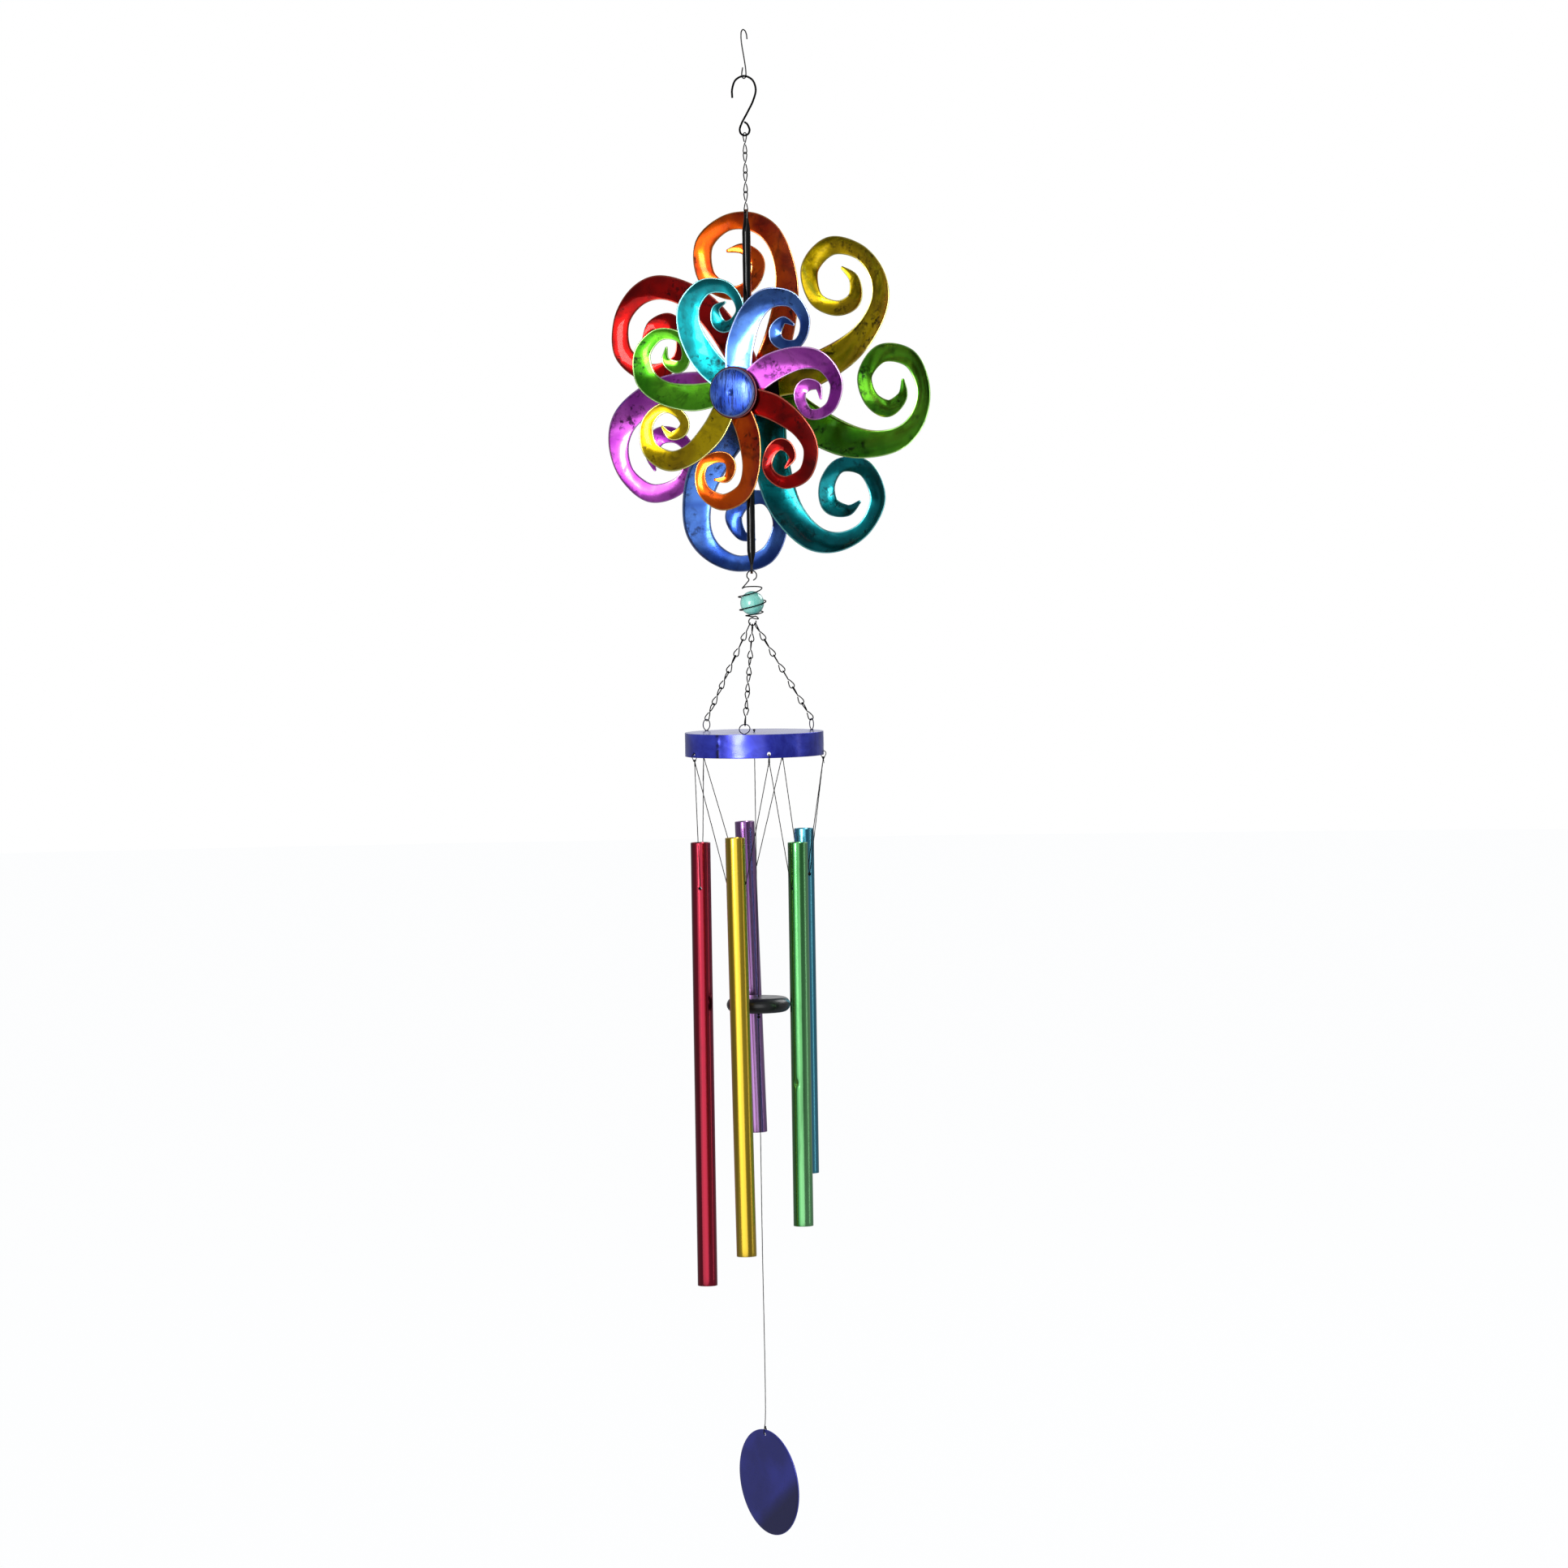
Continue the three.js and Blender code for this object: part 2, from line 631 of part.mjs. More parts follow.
function leg(angle, lean, shift, twist) {
  const rise = CAGE_EYE_LOW - Math.sqrt(CAGE_EYE_LOW ** 2 - shift ** 2);
  const start = polar(shift, CAGE_YAW, CAGE_LOW_EYE_Z + rise);
  const centre = eyeCentre(angle, lean);
  const rim = polar(-EYE_RADIUS * Math.sin(lean * RAD), angle, EYE_RADIUS * Math.cos(lean * RAD));
  const end = centre.add(rim);
  const aim = end.clone().sub(start).normalize();
  start.addScaledVector(aim, -(CAGE_WIRE + LINK_WIRE + HOOK_GAP));
  end.addScaledVector(aim, EYE_WIRE + LINK_WIRE + GAP);
  const half = (start.distanceTo(end) + (LEG_LINKS - 1) * JOINED_OVERLAP) / (2 * LEG_LINKS);
  const links = [];
  for (let i = 0; i < LEG_LINKS; i += 1) {
    const across = polar(1, CAGE_YAW + (twist * i) / (LEG_LINKS - 1), 0);
    const centreAt = start.clone().addScaledVector(aim, half + i * (2 * half - JOINED_OVERLAP));
    links.push(link(centreAt, half, aim, across));
  }
  return join(links);
}

function chimePan() {
  add('pan', pan(), 'blue');
  const shifts = { right: LEG_SPREAD, left: -LEG_SPREAD, front: 0 };
  const twists = { right: 30, left: -30, front: 90 };
  for (const [side, angle] of Object.entries(EYE_ANGLES)) {
    add(`pan_eye_${side}`, panEye(angle, EYE_LEANS[side]), 'black');
    add(`leg_chain_${side}`, leg(angle, EYE_LEANS[side], shifts[side], twists[side]), 'black');
  }
}

// --- tubes on their strings ---
function tube({ angle, top, length, shift, lean }) {
  const inside = TUBE_RADIUS - TUBE_WALL;
  const bottom = TUBE_HOLE_DROP - length;
  const body = lathe([
    [inside, bottom],
    [TUBE_RADIUS, bottom],
    [TUBE_RADIUS, TUBE_HOLE_DROP],
    [inside, TUBE_HOLE_DROP],
    [inside, bottom],
  ], 22);
  const drilled = cut(body, [cylinder(TUBE_HOLE_RADIUS, vec(0, -12, 0), vec(0, 12, 0), 12)]);
  drilled.rotateX(lean * RAD).translate(TUBE_CIRCLE, shift, top - TUBE_HOLE_DROP);
  return drilled.rotateZ(angle * RAD);
}

// A loop of string round the pan's lower edge, through its hole, with the knot that carries two tubes.
function hangLoop(angle) {
  const ring = new THREE.TorusGeometry(LOOP_RADIUS, STRING_RADIUS, 5, 14).rotateX(Math.PI / 2);
  ring.rotateZ(angle * RAD).translate(...polar(LOOP_CIRCLE, angle, LOOP_Z).toArray());
  const knot = new THREE.SphereGeometry(KNOT_RADIUS, 8, 6).rotateX(Math.PI / 2);
  return join([ring, knot.translate(...polar(LOOP_CIRCLE, angle, KNOT_Z).toArray())]);
}

function tubeString({ angle, top, shift }) {
  const low = top - TUBE_HOLE_DROP;
  const side = polar(1, angle + 90, 0);
  const centre = polar(TUBE_CIRCLE, angle, low).addScaledVector(side, shift);
  const half = (sign) => {
    const knot = angle + sign * 36;
    const beside = polar(0.8, knot + 90, 0).multiplyScalar(-sign);
    const edge = centre.clone().addScaledVector(side, sign * (TUBE_RADIUS + 0.9));
    return [
      polar(LOOP_CIRCLE, knot, STRING_TOP).add(beside),
      edge.clone().addScaledVector(side, sign * 0.6).add(vec(0, 0, 2)),
      edge,
      centre.clone().addScaledVector(side, sign * (TUBE_RADIUS - 2)),
    ];
  };
  return wire([...half(-1), ...half(1).reverse()], STRING_RADIUS, 3, 5);
}

function tubes() {
  for (const [colour, one] of Object.entries(TUBES)) {
    add(`tube_${colour}`, tube(one), colour);
    add(`string_${colour}`, tubeString(one), 'string');
    add(`hang_loop_${colour}`, hangLoop(one.angle + 36), 'string');
  }
}

// --- striker, cord and sail ---
function knottedCord(from, to) {
  return join([
    cylinder(STRING_RADIUS, vec(0, 0, from), vec(0, 0, to), 6),
    new THREE.SphereGeometry(1.3, 8, 6).translate(0, 0, from),
    new THREE.SphereGeometry(1.3, 8, 6).translate(0, 0, to),
  ]);
}

function striker() {
  const half = STRIKER_THICK / 2;
  const profile = [[0.8, -half]];
  for (let i = 0; i <= 4; i += 1) {
    const angle = (-90 + 45 * i) * RAD;
    profile.push([STRIKER_RADIUS - half * (1 - Math.cos(angle)), half * Math.sin(angle)]);
  }
  profile.push([0.8, half], [0.8, -half]);
  return lathe(profile, 32).translate(0, 0, STRIKER_Z);
}

function sail() {
  const disc = new THREE.CylinderGeometry(SAIL_RADIUS, SAIL_RADIUS, SAIL_SHEET, 40);
  disc.rotateZ(Math.PI / 2).translate(0, 0, SAIL_HOLE_INSET - SAIL_RADIUS);
  const hole = cylinder(1.4, vec(-3, 0, 0), vec(3, 0, 0), 12);
  const drilled = cut(disc, [hole]);
  drilled.rotateY(SAIL_LEAN * RAD).rotateZ(SAIL_YAW * RAD);
  return drilled.translate(0, 0, SAIL_HOLE_Z);
}

function sailCord(from) {
  const points = [
    vec(0, 0, from),
    vec(0, 0, SAIL_HOLE_Z + 12),
    polar(1.4, SAIL_YAW, SAIL_HOLE_Z + 4),
    polar(1.7, SAIL_YAW, SAIL_HOLE_Z + 1.6),
    polar(1.2, SAIL_YAW, SAIL_HOLE_Z + 0.2),
    polar(0, SAIL_YAW, SAIL_HOLE_Z),
    polar(-1.4, SAIL_YAW, SAIL_HOLE_Z),
  ];
  return join([
    wire(points, STRING_RADIUS, 2, 5),
    new THREE.SphereGeometry(1.3, 8, 6).translate(0, 0, from),
    new THREE.SphereGeometry(1.2, 8, 6).translate(...polar(-2.2, SAIL_YAW, SAIL_HOLE_Z).toArray()),
  ]);
}

function clapper() {
  const half = STRIKER_THICK / 2;
  add('cord_upper', knottedCord(PAN_TOP + 1.6, STRIKER_Z - half - 1.6), 'string');
  add('striker', striker(), 'rubber');
  add('cord_lower', sailCord(STRIKER_Z - half - 4.6), 'string');
  add('sail', sail(), 'navy');
}

add('steel_hook', steelHook(), 'steel');
add('black_hook', blackHook(), 'black');
topChain();
pinwheels();
cagedMarble();
chimePan();
tubes();
clapper();

export default model;
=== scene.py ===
"""The looks of the hanging wind sculpture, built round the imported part.

Design lengths are in millimetres, as in the part, and become metres where a mesh is made.
"""
import json
import math

import bmesh
import bpy
import numpy as np
from mathutils import Matrix, Vector, noise

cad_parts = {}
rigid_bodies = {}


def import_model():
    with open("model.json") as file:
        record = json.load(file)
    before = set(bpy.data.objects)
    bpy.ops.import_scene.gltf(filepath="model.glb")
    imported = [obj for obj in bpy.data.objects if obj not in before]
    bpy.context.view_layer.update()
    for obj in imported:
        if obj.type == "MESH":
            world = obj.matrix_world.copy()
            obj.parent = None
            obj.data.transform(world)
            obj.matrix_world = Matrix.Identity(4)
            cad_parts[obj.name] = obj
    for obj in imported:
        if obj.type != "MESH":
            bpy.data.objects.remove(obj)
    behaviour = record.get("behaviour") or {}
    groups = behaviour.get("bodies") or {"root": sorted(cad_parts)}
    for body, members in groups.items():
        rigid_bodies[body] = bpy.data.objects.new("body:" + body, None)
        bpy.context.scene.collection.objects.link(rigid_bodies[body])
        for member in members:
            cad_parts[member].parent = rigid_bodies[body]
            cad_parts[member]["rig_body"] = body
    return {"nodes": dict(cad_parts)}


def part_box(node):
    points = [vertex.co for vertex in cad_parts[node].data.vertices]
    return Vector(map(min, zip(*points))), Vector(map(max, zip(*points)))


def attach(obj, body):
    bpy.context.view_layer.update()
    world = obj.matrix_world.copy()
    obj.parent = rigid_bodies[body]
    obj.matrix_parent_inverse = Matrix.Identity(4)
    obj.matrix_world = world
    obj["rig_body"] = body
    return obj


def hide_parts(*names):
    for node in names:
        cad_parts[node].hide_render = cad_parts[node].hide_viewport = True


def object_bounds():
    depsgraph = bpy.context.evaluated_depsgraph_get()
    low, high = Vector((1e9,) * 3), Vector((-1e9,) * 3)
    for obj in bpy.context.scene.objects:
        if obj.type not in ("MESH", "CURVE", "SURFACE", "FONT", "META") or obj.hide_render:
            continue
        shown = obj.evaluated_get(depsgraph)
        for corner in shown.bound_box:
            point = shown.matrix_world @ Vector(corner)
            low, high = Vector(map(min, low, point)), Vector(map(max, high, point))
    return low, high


MM = 0.001
WELD = 1e-7
UP = Vector((0, 0, 1))

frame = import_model()
cad_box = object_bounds()

# --- camera ---
AZIMUTH = 24.91
ELEVATION = 2.945
ROLL = 0.896
DISTANCE = 6.0
LENS = 165.0
LOOK_AT_SIDE = 0.0242
LOOK_AT_Z = -0.6272

# --- hooks and top chain ---
STEEL_WIRE = 0.55
STEEL_YAW = 76
BLACK_WIRE = 0.85
BLACK_YAW = 24.5
CROWN_Z = -37.85
BLACK_EYE_DROP = 49.2
LINK_WIRE = 0.45
# Links and cage are drawn a hair thicker than in the CAD: the photo shows them as solid black lines.
LINK_SHOWN = 0.47
CAGE_SHOWN = 0.5
LINK_HALF_WIDTH = 2.05
GAP = 0.25
EYE_GAP = 0.9
CHAIN_YAW = -20.5
CAGE_RING_YAW = 30
TOP_LINKS = 4

# --- spindle ---
ROD_TOP = -148.2
ROD_BOTTOM = -451.3
ROD_RADIUS = 3.5
TONGUE_RADIUS = 2.5
TONGUE_HALF = 1.1
TONGUE_LENGTH = 6
TAPER_LENGTH = 14
ROD_EYE_INSET = 2.6
ROD_EYE_RADIUS = 1.15
ROD_ROWS = 260
ROD_SIDES = 28
END_ROUND = 1.2
HAMMERED = 0.035
RUST_REACH = 9
AXLE_Z = -300.3
AXLE_RADIUS = 2
AXLE_HEAD = 4.2
FREE_BORE = 2.3
HUB_RADIUS = 22

# --- pinwheels ---
PETALS = 7
FRONT_COLOURS = ["blue", "magenta", "red", "orange", "yellow", "green", "teal"]
REAR_COLOURS = ["orange", "yellow", "green", "teal", "blue", "magenta", "red"]
# Stations on a petal's spine: out from the axle, across, band width, forward, tilt in degrees.
# set: how far each petal sits clockwise of its even place, in degrees.
FRONT = {
    "y": -22, "turn": -1, "phase": 49, "sheet": 1.1, "set": [0, 0, 0, 0, 0, 0, 0],
    "stations": [
        (17, -10.5, 22.5, 4.8, 12), (33.5, -22, 23.5, 5, 14), (57.5, -30, 20.5, 5.5, 21),
        (78, -27.5, 18.5, 5, 24), (91, -11.5, 14.5, 4, 17), (88, 6.5, 11.5, 3, 12),
        (77.5, 15, 9.5, 2, 12), (65.5, 15.5, 9, 0.5, 14), (57.5, 7, 9.5, -1, 16),
        (56, -2.5, 10.5, -2.5, 17), (62, -8, 11, -3, 15), (72, -7, 7, -2, 9),
        (75.5, 2.5, 2.5, -0.5, 0),
    ],
}
REAR = {
    "y": 36, "turn": 1, "phase": 107.9, "sheet": 0.55, "set": [0.5, 0, 0.4, 1.1, -1.8, -1, 0.3],
    "stations": [
        (15, -6, 28, 7, 12), (37.5, -27, 30, 7.5, 14), (69.5, -46, 29, 8, 21),
        (96.5, -52.5, 25, 8, 25), (122, -49, 22, 7.5, 24), (139, -33.5, 17, 6.5, 18),
        (145, -9.5, 14, 5.5, 14), (134.5, 15, 16, 4, 11), (108.5, 22, 15.5, 1, 12),
        (89.5, 6, 12.5, -3, 18), (92, -14, 13.5, -5, 17), (106.5, -24, 15, -5, 14),
        (121, -15.5, 10, -4, 8), (124, -2, 3, -1.5, 0),
    ],
}
PETAL_STEPS = 150
PETAL_ROWS = 12
BEAD_STEPS = 5
TIP_STEPS = 4
# How deep a band is dished, as a share of its width: at its root, and from a sixth of its way on.
TROUGH_ROOT = 0.03
TROUGH = 0.055
PAINT_LUMP = 0.1

# --- caged marble ---
MARBLE_Z = -475.7
MARBLE_RADIUS = 10
CAGE_WIRE = 0.45
CAGE_EYE_TOP = 4.1
CAGE_EYE_LOW = 3.1
CAGE_LOW_EYE_Z = -494.3
CAGE_YAW = 15.9
# The cage wire every eighth of a turn on its way down round the marble: distance from the axis, height.
CAGE_COIL_YAW = 204.9
CAGE_COIL = [
    (8, -463.2), (8, -462.4), (8, -462.1), (8.1, -462.3), (8.3, -463.2), (8.8, -465.2), (9.6, -467.5),
    (10.6, -469.3), (11.4, -470.4), (11.6, -471.4), (11.6, -472.4), (11.6, -473.3), (11.5, -474.4),
    (11.4, -476.4), (11.2, -478.6), (10.9, -480.4), (10.5, -481.4), (10.2, -481.9), (9.9, -482.3),
    (9.5, -482.7), (9, -483.3), (8.2, -484.4), (7.2, -485.3), (6.3, -485.9), (5.4, -486.3), (4.4, -486.7),
    (3.3, -487.2),
]

# --- chime pan ---
PAN_RADIUS = 58
PAN_TOP = -583.1
PAN_HEIGHT = 19.7
PAN_SHEET = 0.8
PAN_HOLE_Z = -599.3
PAN_HOLE_RADIUS = 1.6
SEAM_ANGLE = -96.5
EYE_CIRCLE = 51.5
EYE_Z = -578
EYE_RADIUS = 4.45
EYE_WIRE = 0.55
EYE_SHOWN = 0.42
EYE_ANGLES = {"right": 45.9, "left": 165.9, "front": 285.9}
EYE_LEANS = {"right": 0, "left": 0, "front": 32}
LEG_LINKS = 6
LEG_SPREAD = 2.3

# --- tubes ---
TUBE_CIRCLE = 46.6
TUBE_RADIUS = 8.3
TUBE_WALL = 0.8
TUBE_HOLE_DROP = 38
TUBE_HOLE_RADIUS = 1.5
TUBE_ROWS = 40
# The knock in one tube: which way it faces, how deep it is and how far it spreads.
DENT_YAW = 278
DENT_DEPTH = 0.7
DENT_REACH = 2.2
CUTTER_SIDES = 28
STRING_RADIUS = 0.4
TWINE = {"plies": 3, "lay": 0.5}
LOOP_CIRCLE = 57.6
LOOP_Z = -601.9
KNOT_Z = -605.4
NEXT_LOOP = 36
SHORT_TAIL = 4.5
LONG_TAIL = 20
# shift and lean: how far a tube hangs off its even place, in mm and degrees. dent: mm below its top.
TUBES = {
    "red": {"angle": 199.1, "top": -675.3, "length": 372, "shift": 0, "lean": 0},
    "yellow": {"angle": 271.1, "top": -669, "length": 348.5, "shift": 2.4, "lean": 0.75},
    "green": {"angle": 343.1, "top": -674.3, "length": 320, "shift": 0, "lean": 0, "dent": 200},
    "blue": {"angle": 55.1, "top": -665.8, "length": 290, "shift": 0, "lean": 0},
    "purple": {"angle": 127.1, "top": -660.5, "length": 262.5, "shift": -1.4, "lean": -1.5},
}

# --- striker and sail ---
STRIKER_Z = -811.3
STRIKER_RADIUS = 26.6
STRIKER_THICK = 12.5
SAIL_RADIUS = 45
SAIL_SHEET = 1
SAIL_HOLE_Z = -1173
SAIL_HOLE_INSET = 4.2
SAIL_YAW = 238
SAIL_LEAN = 4.5

# --- lights, as azimuth, elevation, distance, width, height and watts ---
SOFTBOXES = {
    "wide_key": (8, 2, 3.4, 4.6, 3.2, 56),
    "key_core": (-2, 8, 3.2, 0.8, 1.4, 58),
    "right_strip": (104, 4, 2.8, 0.35, 2.4, 3),
    "back": (205, 10, 3.0, 1.6, 1.4, 4),
    "high_back": (150, 34, 3.2, 2.2, 1.6, 40),
}


# ---------------- shapes
def polar(radius, degrees, z):
    angle = math.radians(degrees)
    return Vector((radius * math.cos(angle), radius * math.sin(angle), z))


def standing(points, yaw):
    """Points (along, z) of a drawing that stands upright in the plane at that yaw."""
    return [polar(u, yaw, z) for u, z in points]


def through(points, spacing, closed=False):
    """A centripetal Catmull-Rom line through the points, with its points about spacing apart."""
    p = [Vector(q) for q in points]
    if closed:
        p = [p[-1], *p, p[0], p[1]]
    else:
        p = [p[0] * 2 - p[1], *p, p[-1] * 2 - p[-2]]
    line = []
    for a, b, c, d in zip(p, p[1:], p[2:], p[3:]):
        t1 = math.sqrt((b - a).length)
        t2 = t1 + math.sqrt((c - b).length)
        t3 = t2 + math.sqrt((d - c).length)
        steps = max(2, math.ceil((c - b).length / spacing))
        for k in range(steps):
            t = t1 + (t2 - t1) * k / steps
            ab = a * ((t1 - t) / t1) + b * (t / t1)
            bc = b * ((t2 - t) / (t2 - t1)) + c * ((t - t1) / (t2 - t1))
            cd = c * ((t3 - t) / (t3 - t2)) + d * ((t - t2) / (t3 - t2))
            abc = ab * ((t2 - t) / t2) + bc * (t / t2)
            bcd = bc * ((t3 - t) / (t3 - t1)) + cd * ((t - t1) / (t3 - t1))
            line.append(abc * ((t2 - t) / (t2 - t1)) + bcd * ((t - t1) / (t2 - t1)))
    if not closed:
        line.append(p[-2])
    return line


def tangents(line, closed):
    count = len(line)
    found = []
    for i in range(count):
        after = line[(i + 1) % count] if closed else line[min(i + 1, count - 1)]
        before = line[i - 1] if closed else line[max(i - 1, 0)]
        found.append((after - before).normalized())
    return found


def sweep(line, radius, sides, closed=False, plies=0, lay=1.0):
    """A round wire along a line. With plies it is a twisted cord, lay being its turns in each mm."""
    along = tangents(line, closed)
    side = along[0].orthogonal().normalized()
    rings = []
    travelled = 0
    for i, (centre, way) in enumerate(zip(line, along)):
        side = (side - way * side.dot(way)).normalized()
        other = way.cross(side)
        travelled += (centre - line[i - 1]).length if i else 0
        twist = 2 * math.pi * lay * travelled
        ring = []
        for k in range(sides):
            angle = 2 * math.pi * k / sides
            lobe = radius * (1 - 0.14 * (1 - math.cos(plies * (angle - twist)))) if plies else radius
            ring.append(centre + (side * math.cos(angle) + other * math.sin(angle)) * lobe)
        rings.append(ring)
    if not closed:
        rings = cap_rings(rings[0], line[0], -along[0], radius)[::-1] + rings
        rings += cap_rings(rings[-1], line[-1], along[-1], radius)
    return skin(rings, closed)


def cap_rings(ring, centre, way, radius):
    """Rings that round off the end of a wire."""
    found = []
    for step in (1, 2, 3):
        angle = step * math.pi / 6.4
        out = centre + way * radius * math.sin(angle) * 0.7
        found.append([out + (p - centre) * math.cos(angle) for p in ring])
    return found


def skin(rings, closed=False):
    """Faces over a row of equal rings, with both ends filled unless it is closed."""
    sides = len(rings[0])
    verts = [p for ring in rings for p in ring]
    faces = []
    count = len(rings)
    for i in range(count if closed else count - 1):
        a = i * sides
        b = ((i + 1) % count) * sides
        for k in range(sides):
            m = (k + 1) % sides
            faces.append((a + k, a + m, b + m, b + k))
    if not closed:
        faces.append(tuple(range(sides - 1, -1, -1)))
        faces.append(tuple(range((count - 1) * sides, count * sides)))
    return verts, faces


def rounded(profile, radius, steps=4):
    """A closed profile of (radius, height) with every corner off the axis rounded."""
    points = [Vector(p) for p in profile]
    count = len(points)
    found = []
    for i, here in enumerate(points):
        before, after = points[i - 1], points[(i + 1) % count]
        if here.x < 1e-6:
            found.append(here)
            continue
        a, b = (before - here), (after - here)
        cut = min(radius, a.length * 0.45, b.length * 0.45)
        start = here + a.normalized() * cut
        end = here + b.normalized() * cut
        for k in range(steps + 1):
            t = k / steps
            found.append(start * (1 - t) ** 2 + here * 2 * t * (1 - t) + end * t * t)
    return found


def lathe(profile, sides, wobble=None):
    """A closed profile of (radius, height) turned round +Z. wobble(angle, r, z) adds to the radius."""
    verts, faces, rows = [], [], []
    for p in profile:
        if p.x < 1e-6:
            rows.append([len(verts)] * sides)
            verts.append(Vector((0, 0, p.y)))
            continue
        rows.append(list(range(len(verts), len(verts) + sides)))
        for k in range(sides):
            angle = 2 * math.pi * k / sides
            r = p.x + (wobble(angle, p.x, p.y) if wobble else 0)
            verts.append(Vector((r * math.cos(angle), r * math.sin(angle), p.y)))
    count = len(profile)
    for i in range(count):
        a, b = rows[i], rows[(i + 1) % count]
        if a[0] == a[1] and b[0] == b[1]:
            continue
        for k in range(sides):
            m = (k + 1) % sides
            corners = dict.fromkeys((a[k], a[m], b[m], b[k]))
            faces.append(tuple(corners))
    return verts, faces


def moved(shape, matrix):
    verts, faces = shape
    return [matrix @ v for v in verts], faces


def joined(*shapes):
    verts, faces = [], []
    for more_verts, more_faces in shapes:
        start = len(verts)
        verts += more_verts
        faces += [tuple(i + start for i in face) for face in more_faces]
    return verts, faces


def share(value, low, high):
    """How far a value is on its way from low to high, held within 0 and 1."""
    return min(max((value - low) / (high - low), 0), 1)


def wire(points, spacing, radius, sides):
    """A round wire that runs smoothly through the points."""
    return sweep(through(points, spacing), radius, sides)


def twisted(points, spacing, radius=STRING_RADIUS, sides=9):
    """Three-ply twine that runs smoothly through the points."""
    return sweep(through(points, spacing), radius, sides, **TWINE)


# Turned parts stand along the wheels' axle: their height runs along +Y from the rod.
ON_AXLE = Matrix.Translation((0, 0, AXLE_Z)) @ Matrix.Rotation(-math.pi / 2, 4, "X")


def turned_on_axle(profile, radius, sides):
    """A profile with rounded corners, turned about the wheels' axle."""
    return moved(lathe(rounded(profile, radius), sides), ON_AXLE)


def make_mesh(name, shape, keep_points=False):
    """A mesh in metres. Points that coincide are joined, unless the points' order matters later."""
    verts, faces = shape
    mesh = bpy.data.meshes.new(name)
    mesh.from_pydata([v * MM for v in verts], [], faces)
    solid = bmesh.new()
    solid.from_mesh(mesh)
    if keep_points:
        bmesh.ops.triangulate(solid, faces=[face for face in solid.faces if len(face.verts) > 4])
    else:
        bmesh.ops.remove_doubles(solid, verts=solid.verts, dist=WELD)
    bmesh.ops.recalc_face_normals(solid, faces=solid.faces)
    solid.to_mesh(mesh)
    solid.free()
    return mesh


def placed(name, data):
    """A new object in the scene."""
    made = bpy.data.objects.new(name, data)
    bpy.context.scene.collection.objects.link(made)
    return made


def drilled(mesh, pins):
    """The mesh with round holes cut through it; a pin is (from, to, radius)."""
    target = placed("drilled", mesh)
    cutters = bmesh.new()
    for start, end, radius in pins:
        way = Vector(end) - Vector(start)
        turn = way.to_track_quat("Z", "Y").to_matrix().to_4x4()
        place = Matrix.Translation((Vector(start) + Vector(end)) / 2 * MM) @ turn
        bmesh.ops.create_cone(
            cutters, cap_ends=True, segments=CUTTER_SIDES, radius1=radius * MM, radius2=radius * MM,
            depth=way.length * MM, matrix=place,
        )
    cutter_mesh = bpy.data.meshes.new("cutters")
    cutters.to_mesh(cutter_mesh)
    cutters.free()
    cutter = placed("cutters", cutter_mesh)
    cut = target.modifiers.new("cut", "BOOLEAN")
    cut.operation = "DIFFERENCE"
    cut.solver = "EXACT"
    cut.object = cutter
    bpy.context.view_layer.update()
    result = bpy.data.meshes.new_from_object(target.evaluated_get(bpy.context.evaluated_depsgraph_get()))
    bpy.data.objects.remove(target)
    bpy.data.objects.remove(cutter)
    return result


def show(name, mesh, node, material, crease):
    """Puts a piece in the scene, on a CAD node's body and with its material slot."""
    piece = placed(name, mesh)
    mesh.materials.clear()
    mesh.materials.append(material)
    mesh.polygons.foreach_set("use_smooth", [True] * len(mesh.polygons))
    mesh.set_sharp_from_angle(angle=math.radians(crease))
    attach(piece, frame["nodes"][node]["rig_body"])
    return piece


def stand_in(node, shape, material, crease=35, pins=(), keep_points=False):
    """A fine piece that replaces a CAD node."""
    mesh = make_mesh(node, shape, keep_points)
    if pins:
        mesh = drilled(mesh, pins)
    piece = show(f"{node}_fine", mesh, node, material, crease)
    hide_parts(node)
    return piece


def set_attribute(piece, name, values):
    found = piece.data.attributes.new(name, "FLOAT", "POINT")
    found.data.foreach_set("value", np.array(values, np.float32))


# ---------------- materials
def linear(colour):
    """An sRGB hex colour as linear RGBA."""
    parts = [int(colour[i:i + 2], 16) / 255 for i in (0, 2, 4)]
    return [((c + 0.055) / 1.055) ** 2.4 if c > 0.04045 else c / 12.92 for c in parts] + [1.0]


def fill(node, **values):
    """Sets a node's sockets; an underscore stands for a space in a socket's name."""
    for socket, value in values.items():
        node.inputs[socket.replace("_", " ")].default_value = value


